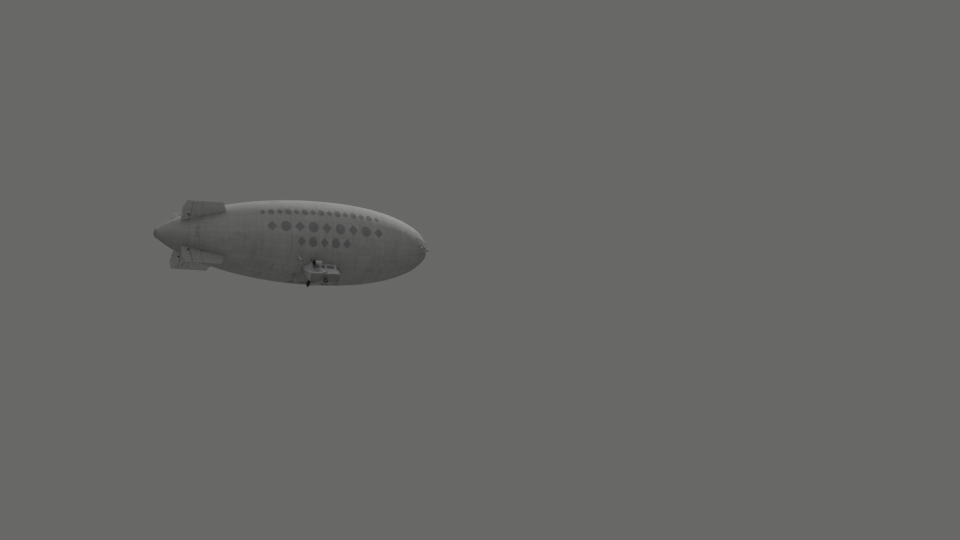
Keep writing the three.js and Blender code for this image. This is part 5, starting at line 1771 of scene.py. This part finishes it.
def gear_fork():
    low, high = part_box("gear_fork")
    rim_low, rim_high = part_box("wheel_rim")
    axle = (rim_low + rim_high) / 2
    housing_low, housing_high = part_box("gear_housing")
    column = (housing_low + housing_high) / 2
    crown = housing_low.z - 0.005
    bm = bmesh.new()
    rod(bm, (column.x, 0, crown - 0.03), (column.x, 0, high.z), 0.03, sides=28)
    block(bm, (column.x - 0.07, low.y, crown - 0.045), (column.x + 0.07, high.y, crown), 0.014)
    for side in (1, -1):
        y = side * (high.y - 0.01)
        outline = [(column.x + 0.07, crown - 0.002), (column.x - 0.07, crown - 0.002),
                   (column.x - 0.072, crown - 0.06), (axle.x - 0.046, axle.z + 0.02),
                   (axle.x - 0.035, axle.z - 0.03), (axle.x, axle.z - 0.05), (axle.x + 0.035, axle.z - 0.03),
                   (axle.x + 0.046, axle.z + 0.02), (column.x + 0.066, crown - 0.1)]
        upright = move((0, y, 0)) @ rotate(pi / 2, "X")
        plate(bm, outline, 0.02, upright)
        nut = [(-0.008, 0), (-0.008, 0.036), (0.012, 0.034), (0.016, 0.026), (0.03, 0.024), (0.032, 0)]
        lathe(bm, nut, (axle.x, y, axle.z), side * Y, 24)
        rod(bm, (column.x - 0.02, y, crown - 0.11), (axle.x + 0.02, y, axle.z + 0.1), 0.014)
    rod(bm, (axle.x, low.y + 0.015, axle.z), (axle.x, high.y - 0.015, axle.z), 0.018, sides=24)
    piece("wheel_fork", bm, "steel", "gear_fork", body="gear_swivel")


def landing_wheel():
    low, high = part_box("wheel_rim")
    axle = (low + high) / 2
    rim = (high.x - low.x) / 2
    half = (high.y - low.y) / 2
    bm = bmesh.new()
    lathe(bm, [(-half, 0.019), (-half, 0.05), (-half + 0.012, 0.06), (-0.05, 0.068), (-0.032, 0.08),
               (-0.03, rim - 0.04), (-0.045, rim - 0.026), (-0.066, rim - 0.018), (-0.076, rim),
               (-0.068, rim + 0.006), (-0.055, rim - 0.008), (0.055, rim - 0.008), (0.068, rim + 0.006),
               (0.076, rim), (0.066, rim - 0.018), (0.045, rim - 0.026), (0.03, rim - 0.04), (0.032, 0.08),
               (0.05, 0.068), (half - 0.012, 0.06), (half, 0.05), (half, 0.019), (-half, 0.019)], axle, Y, 56)
    made = piece("wheel_disc", bm, "alloy", "wheel_rim", body="landing_wheel")
    tool = bmesh.new()
    for angle in turns(6):
        spot = axle + from_y(angle, 0.118)
        rod(tool, spot - 0.1 * Y, spot + 0.1 * Y, 0.022, sides=20)
    carve(made, tool)

    low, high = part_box("tyre")
    outer, half = (high.x - low.x) / 2, (high.y - low.y) / 2
    bm = bmesh.new()
    profile = [(-0.06, rim - 0.004), (-0.075, rim + 0.012)]
    for i in range(15):
        turn = pi * (i / 14) - pi / 2
        profile.append((half * sin(turn), mix(rim + 0.055, outer, abs(cos(turn)) ** 0.62)))
    profile += [(0.075, rim + 0.012), (0.06, rim - 0.004), (-0.06, rim - 0.004)]
    lathe(bm, profile, axle, Y, 72)
    tyre = piece("ribbed_tyre", bm, "rubber", "tyre", body="landing_wheel", crease=50)
    tool = bmesh.new()
    for y in (-0.045, -0.015, 0.015, 0.045):
        sunk = outer * (1 - abs(y / half) ** 2 * 0.1) - 0.007
        groove = [(-0.004, sunk), (-0.004, outer + 0.02), (0.004, outer + 0.02), (0.004, sunk)]
        lathe(tool, [*groove, groove[0]], axle + y * Y, Y, 72)
    carve(tyre, tool)


def grab_rail(car):
    out, z = car.half_width + 0.09, car.bottom - 0.07
    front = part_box("grab_rail")[1].x - 0.017
    half = [(0.15, out - 0.12, car.bottom - 0.02), (0.26, out, z), (0.42, out, z), (1.25, out, z),
            (2.25, out, z), (car.nose_start - 0.2, out, z), (car.nose_start, out, z),
            (car.nose_start + 0.64, out * 0.66, z)]
    mirrored = [(x, -y, height) for x, y, height in reversed(half)]
    bm = bmesh.new()
    pipe(bm, smooth_path([*half, (front, 0, z), *mirrored], 6), 0.017, 14)
    for x in (0.42, 1.25, 2.25, car.nose_start - 0.2):
        for side in (1, -1):
            y = side * car.rail_foot
            rod(bm, (x, side * out, z), (x, y, car.bottom - 0.012), 0.012)
            foot = [(0.0003, 0), (0.0003, 0.045), (0.012, 0.042), (0.02, 0.02), (0.02, 0)]
            lathe(bm, foot, (x, y, car.bottom), -Z, 20)
            ball(bm, (x, side * out, z), (0.026, 0.024, 0.024), 14)
    for x, y, height in (half[0], mirrored[-1]):
        ball(bm, (x, y, height), 0.021, 14)
    piece("grab_rail_tubes", bm, "alloy", "grab_rail")


def boarding_step():
    """Two slatted treads under the door, hung on two tubes from a pad under the floor."""
    low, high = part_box("boarding_step")
    outer, inner = low.y + 0.013, low.y + 0.127
    bm = bmesh.new()
    for top in (low.z + 0.03, high.z - 0.015):
        for y in (outer, inner):
            rod(bm, (low.x, y, top - 0.015), (high.x, y, top - 0.015), 0.013)
        for x in (low.x + 0.013, high.x - 0.013):
            rod(bm, (x, outer, top - 0.015), (x, inner, top - 0.015), 0.012)
        for i in range(5):
            y = mix(outer + 0.024, inner - 0.024, i / 4)
            block(bm, (low.x + 0.013, y - 0.006, top - 0.024), (high.x - 0.013, y + 0.006, top - 0.001),
                  0.003)
    hanger_y, arm_z = (outer + inner) / 2, high.z - 0.016
    for x in (low.x + 0.08, high.x - 0.08):
        rod(bm, (x, hanger_y, arm_z), (x, high.y - 0.02, arm_z), 0.014)
        rod(bm, (x, hanger_y, low.z + 0.015), (x, hanger_y, arm_z), 0.013)
        rod(bm, (x, hanger_y, low.z + 0.1), (x, hanger_y + 0.2, arm_z), 0.009)
        ball(bm, (x, hanger_y, arm_z), 0.016, 14)
        ball(bm, (x, hanger_y, low.z + 0.1), 0.018, 14)
    block(bm, (low.x + 0.02, high.y - 0.1, high.z - 0.02), (high.x - 0.02, high.y, high.z), 0.005)
    spots = (low.x + 0.05, low.x + 0.2, high.x - 0.2, high.x - 0.05)
    bolts(bm, [(x, high.y - 0.05, high.z - 0.026) for x in spots], 0.016 * Z, 0.009)
    piece("boarding_step_grid", bm, "alloy", "boarding_step")


class AIRSHIP_OT_gear(Operator):
    """Build the swivelling landing wheel, the grab rail and the boarding step"""

    bl_idname = "airship.gear"
    bl_label = "Landing gear and rails"

    def execute(self, context):
        car = context.scene.airship_car
        gear_housing()
        gear_fork()
        landing_wheel()
        grab_rail(car)
        boarding_step()
        return {"FINISHED"}


# Fittings on the hull
def scoop(name, side):
    path = smooth_path([(-1.75, side * 1.6, -5.0), (-1.75, side * 1.64, -5.6), (-1.7, side * 1.68, -6.15),
                        (-1.4, side * 1.7, -6.45)], 8)
    places = path_places(path)
    bm = bmesh.new()
    sides = 28
    outer = []
    for i, place in enumerate(places):
        pinch = 1 - 0.02 * sin(pi * 6 * i / (len(places) - 1)) ** 2
        outer.append(place @ Matrix.Diagonal((pinch, pinch, 1, 1)))
    inner = [place @ Matrix.Diagonal((0.93, 0.93, 1, 1)) for place in reversed(places[-8:])]
    sweep(bm, outer, circle(0.186, sides))
    made = piece(f"{name}_scoop_sleeve", bm, "hull", f"{name}_air_scoop")
    tool = bmesh.new()
    sweep(tool, [inner[-1], *inner[-2::-1], places[-1] @ move((0, 0, 0.05))], circle(0.186, sides))
    carve(made, tool)
    bm = bmesh.new()
    mouth = places[-1]
    axis = mouth.to_3x3() @ Z
    hoop(bm, mouth.translation, axis, 0.184, 0.013, 40, 10)
    hoop(bm, places[-9].translation, places[-9].to_3x3() @ Z, 0.186, 0.008, 40, 8)
    for i in range(-4, 5):
        at = mouth @ Vector((0.04 * i, 0, -0.01))
        reach = sqrt(max(0.18**2 - (0.04 * i) ** 2, 0))
        up = mouth.to_3x3() @ Vector((0, reach, 0))
        rod(bm, at - up, at + up, 0.003, sides=6)
    piece(f"{name}_scoop_mouth", bm, "alloy")


def valve(hull, node, station, bearing, rise):
    low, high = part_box(node)
    radius = (high.x - low.x) / 2
    cap = radius * 0.62
    bm = bmesh.new()
    rim = [(-0.1, 0), (-0.1, radius), (rise - 0.022, radius), (rise - 0.008, radius - 0.006),
           (rise, radius - 0.022)]
    dome = [(rise, cap + 0.012), (rise + 0.01, cap), (rise + 0.021, cap * 0.8), (rise + 0.028, cap * 0.4)]
    lathe(bm, [*rim, *dome, (rise + 0.03, 0)], (0, 0, 0), Y, 56)
    bolts(bm, [(rise - 0.004) * Y + from_y(angle, radius - 0.045) for angle in turns(24)], 0.014 * Y, 0.012)
    for angle in turns(8):
        reach = from_y(angle, cap)
        rod(bm, reach * 0.96 + (rise + 0.008) * Y, reach * 0.2 + (rise + 0.027) * Y, 0.007, sides=8)
    bm.transform(hull_frame(hull, station, bearing))
    piece(f"{node}_drum", bm, "dull_alloy", node)


def tail_cap(hull):
    bm = bmesh.new()
    end = hull.lift - hull.length
    outline = [hull_outline(hull, hull.length - back, 0.008) for back in (0.15, 0.11, 0.08, 0.055, 0.035,
                                                                          0.02)]
    x, radius = outline[0]
    lathe(bm, [(x, 0), (x, radius - 0.02), *outline, (end - 0.01, 0.03), (end - 0.01, 0)], steps=64)
    hoop(bm, (x, 0, 0), X, radius, 0.01, 64, 8)
    piece("tail_cap", bm, "dull_alloy")
    bm = bmesh.new()
    lathe(bm, [(0, 0), (0, 0.05), (0.03, 0.046), (0.06, 0.03), (0.07, 0)], (end - 0.01) * X, -X, 24)
    piece("tail_lamp", bm, "clear_lamp")


class AIRSHIP_OT_fittings(Operator):
    """Add the air scoops, valves, tail cap and tail lamp"""

    bl_idname = "airship.fittings"
    bl_label = "Hull fittings"

    valves = (
        # node, station, bearing from the top towards port in degrees, height above the hull
        ("gas_valve", 21.0, 55, 0.07), ("front_air_valve", 9.5, 180, 0.09),
        ("rear_air_valve", 24.5, 180, 0.09),
    )

    def execute(self, context):
        hull = context.scene.airship_hull
        for name, side in SIDES:
            scoop(name, side)
        for node, station, bearing, rise in self.valves:
            valve(hull, node, station, radians(bearing), rise)
        tail_cap(hull)
        return {"FINISHED"}


# Stage
def aim_camera(context, stage, back, eye):
    forward = -back
    right = forward.cross(Z).normalized()
    up = right.cross(forward)
    turned_right = right * cos(stage.roll) + up * sin(stage.roll)
    turned_up = up * cos(stage.roll) - right * sin(stage.roll)
    level = Matrix((turned_right, turned_up, -forward)).transposed()
    width, height = 960, 540
    data = bpy.data.cameras.new("camera")
    focal = stage.lens / data.sensor_width * width
    seen = Vector(((stage.target_column - width / 2) / focal, (height / 2 - stage.target_row) / focal, -1))
    aim = seen.normalized().rotation_difference(-Z).to_matrix()
    data.lens = stage.lens
    data.clip_end = 2000
    camera = new_object("camera", data)
    camera.matrix_world = move(eye) @ (level @ aim).to_4x4()
    context.scene.camera = camera


def lay_floor(stage, height):
    bm = bmesh.new()
    bmesh.ops.create_circle(bm, cap_ends=True, segments=96, radius=stage.floor_radius,
                            matrix=move((0, 0, height)))
    mesh = bpy.data.meshes.new("floor")
    bm.to_mesh(mesh)
    bm.free()
    made, web = material("Pale floor")
    spots = web.noise(web.object_place(), 0.05, 4, 0.5)
    tone = web.blend(web.ramp(spots, 0.3, 0.7), rgba(stage.floor), rgba(stage.floor, 0.94))
    web.look("Base Color", tone)
    web.look("Roughness", 0.9)
    mesh.materials.append(made)
    new_object("floor", mesh)


def set_light(context, stage):
    world = bpy.data.worlds.new("Even sky")
    world.use_nodes = True
    web = Web(world.node_tree)
    up = web.split(web.add("TexCoord").outputs["Generated"])[2]
    level = web.ramp(up, -0.04, 0.04, stage.ground, stage.sky)
    web.set(world.node_tree.nodes["Background"], "Strength", level)
    world.node_tree.nodes["Background"].inputs["Color"].default_value = (1, 1, 0.985, 1)
    context.scene.world = world
    lamps = (
        # name, strength, width in degrees, direction that the light comes from
        ("sun", stage.sun, 2, (0.53, -0.16, 0.83)),
        ("starboard fill", stage.fill, 70, (-0.06, -0.96, 0.27)),
    )
    for name, strength, width, source in lamps:
        data = bpy.data.lights.new(name, "SUN")
        data.energy = strength
        data.angle = radians(width)
        lamp = new_object(name, data)
        lamp.rotation_mode = "QUATERNION"
        lamp.rotation_quaternion = Vector(source).to_track_quat("Z", "Y")


class AIRSHIP_OT_stage(Operator):
    """Lay the floor, set the light and place the camera"""

    bl_idname = "airship.stage"
    bl_label = "Stage"

    def execute(self, context):
        stage = context.scene.airship_stage
        back = Vector((-sin(stage.azimuth) * cos(stage.elevation),
                       -cos(stage.azimuth) * cos(stage.elevation), -sin(stage.elevation)))
        target = Vector((stage.target_x, 0, 0))
        eye = target + back * stage.distance
        aim_camera(context, stage, back, eye)
        lay_floor(stage, eye.z)
        set_light(context, stage)
        return {"FINISHED"}


# Panel and registration
GROUPS = {
    "airship_hull": AirshipHull, "airship_nose": AirshipNose, "airship_tail": AirshipTail,
    "airship_car": AirshipCar, "airship_engine": AirshipEngine, "airship_finish": AirshipFinish,
    "airship_stage": AirshipStage,
}
OPERATORS = (
    AIRSHIP_OT_stage, AIRSHIP_OT_envelope, AIRSHIP_OT_nose, AIRSHIP_OT_tail, AIRSHIP_OT_rigging,
    AIRSHIP_OT_car, AIRSHIP_OT_interior, AIRSHIP_OT_engines, AIRSHIP_OT_gear, AIRSHIP_OT_fittings,
)


class AIRSHIP_PT_sidebar(Panel):
    """Lists the steps that build the airship"""

    bl_idname = "AIRSHIP_PT_sidebar"
    bl_label = "Airship"
    bl_space_type = "VIEW_3D"
    bl_region_type = "UI"
    bl_category = "Airship"

    def draw(self, context):
        for step in OPERATORS:
            self.layout.operator(step.bl_idname)
        for name in GROUPS:
            settings = getattr(context.scene, name)
            box = self.layout.box()
            for key in settings.bl_rna.properties.keys():
                if key not in ("rna_type", "name"):
                    box.prop(settings, key)


def register():
    for name, group in GROUPS.items():
        bpy.utils.register_class(group)
        setattr(bpy.types.Scene, name, PointerProperty(type=group))
    for cls in (*OPERATORS, AIRSHIP_PT_sidebar):
        bpy.utils.register_class(cls)


def unregister():
    for cls in (AIRSHIP_PT_sidebar, *reversed(OPERATORS)):
        bpy.utils.unregister_class(cls)
    for name, group in reversed(GROUPS.items()):
        delattr(bpy.types.Scene, name)
        bpy.utils.unregister_class(group)


def main():
    register()
    mix_looks(bpy.context.scene)
    for step in OPERATORS:
        group, name = step.bl_idname.split(".")
        getattr(getattr(bpy.ops, group), name)()


if __name__ == "__main__":
    main()
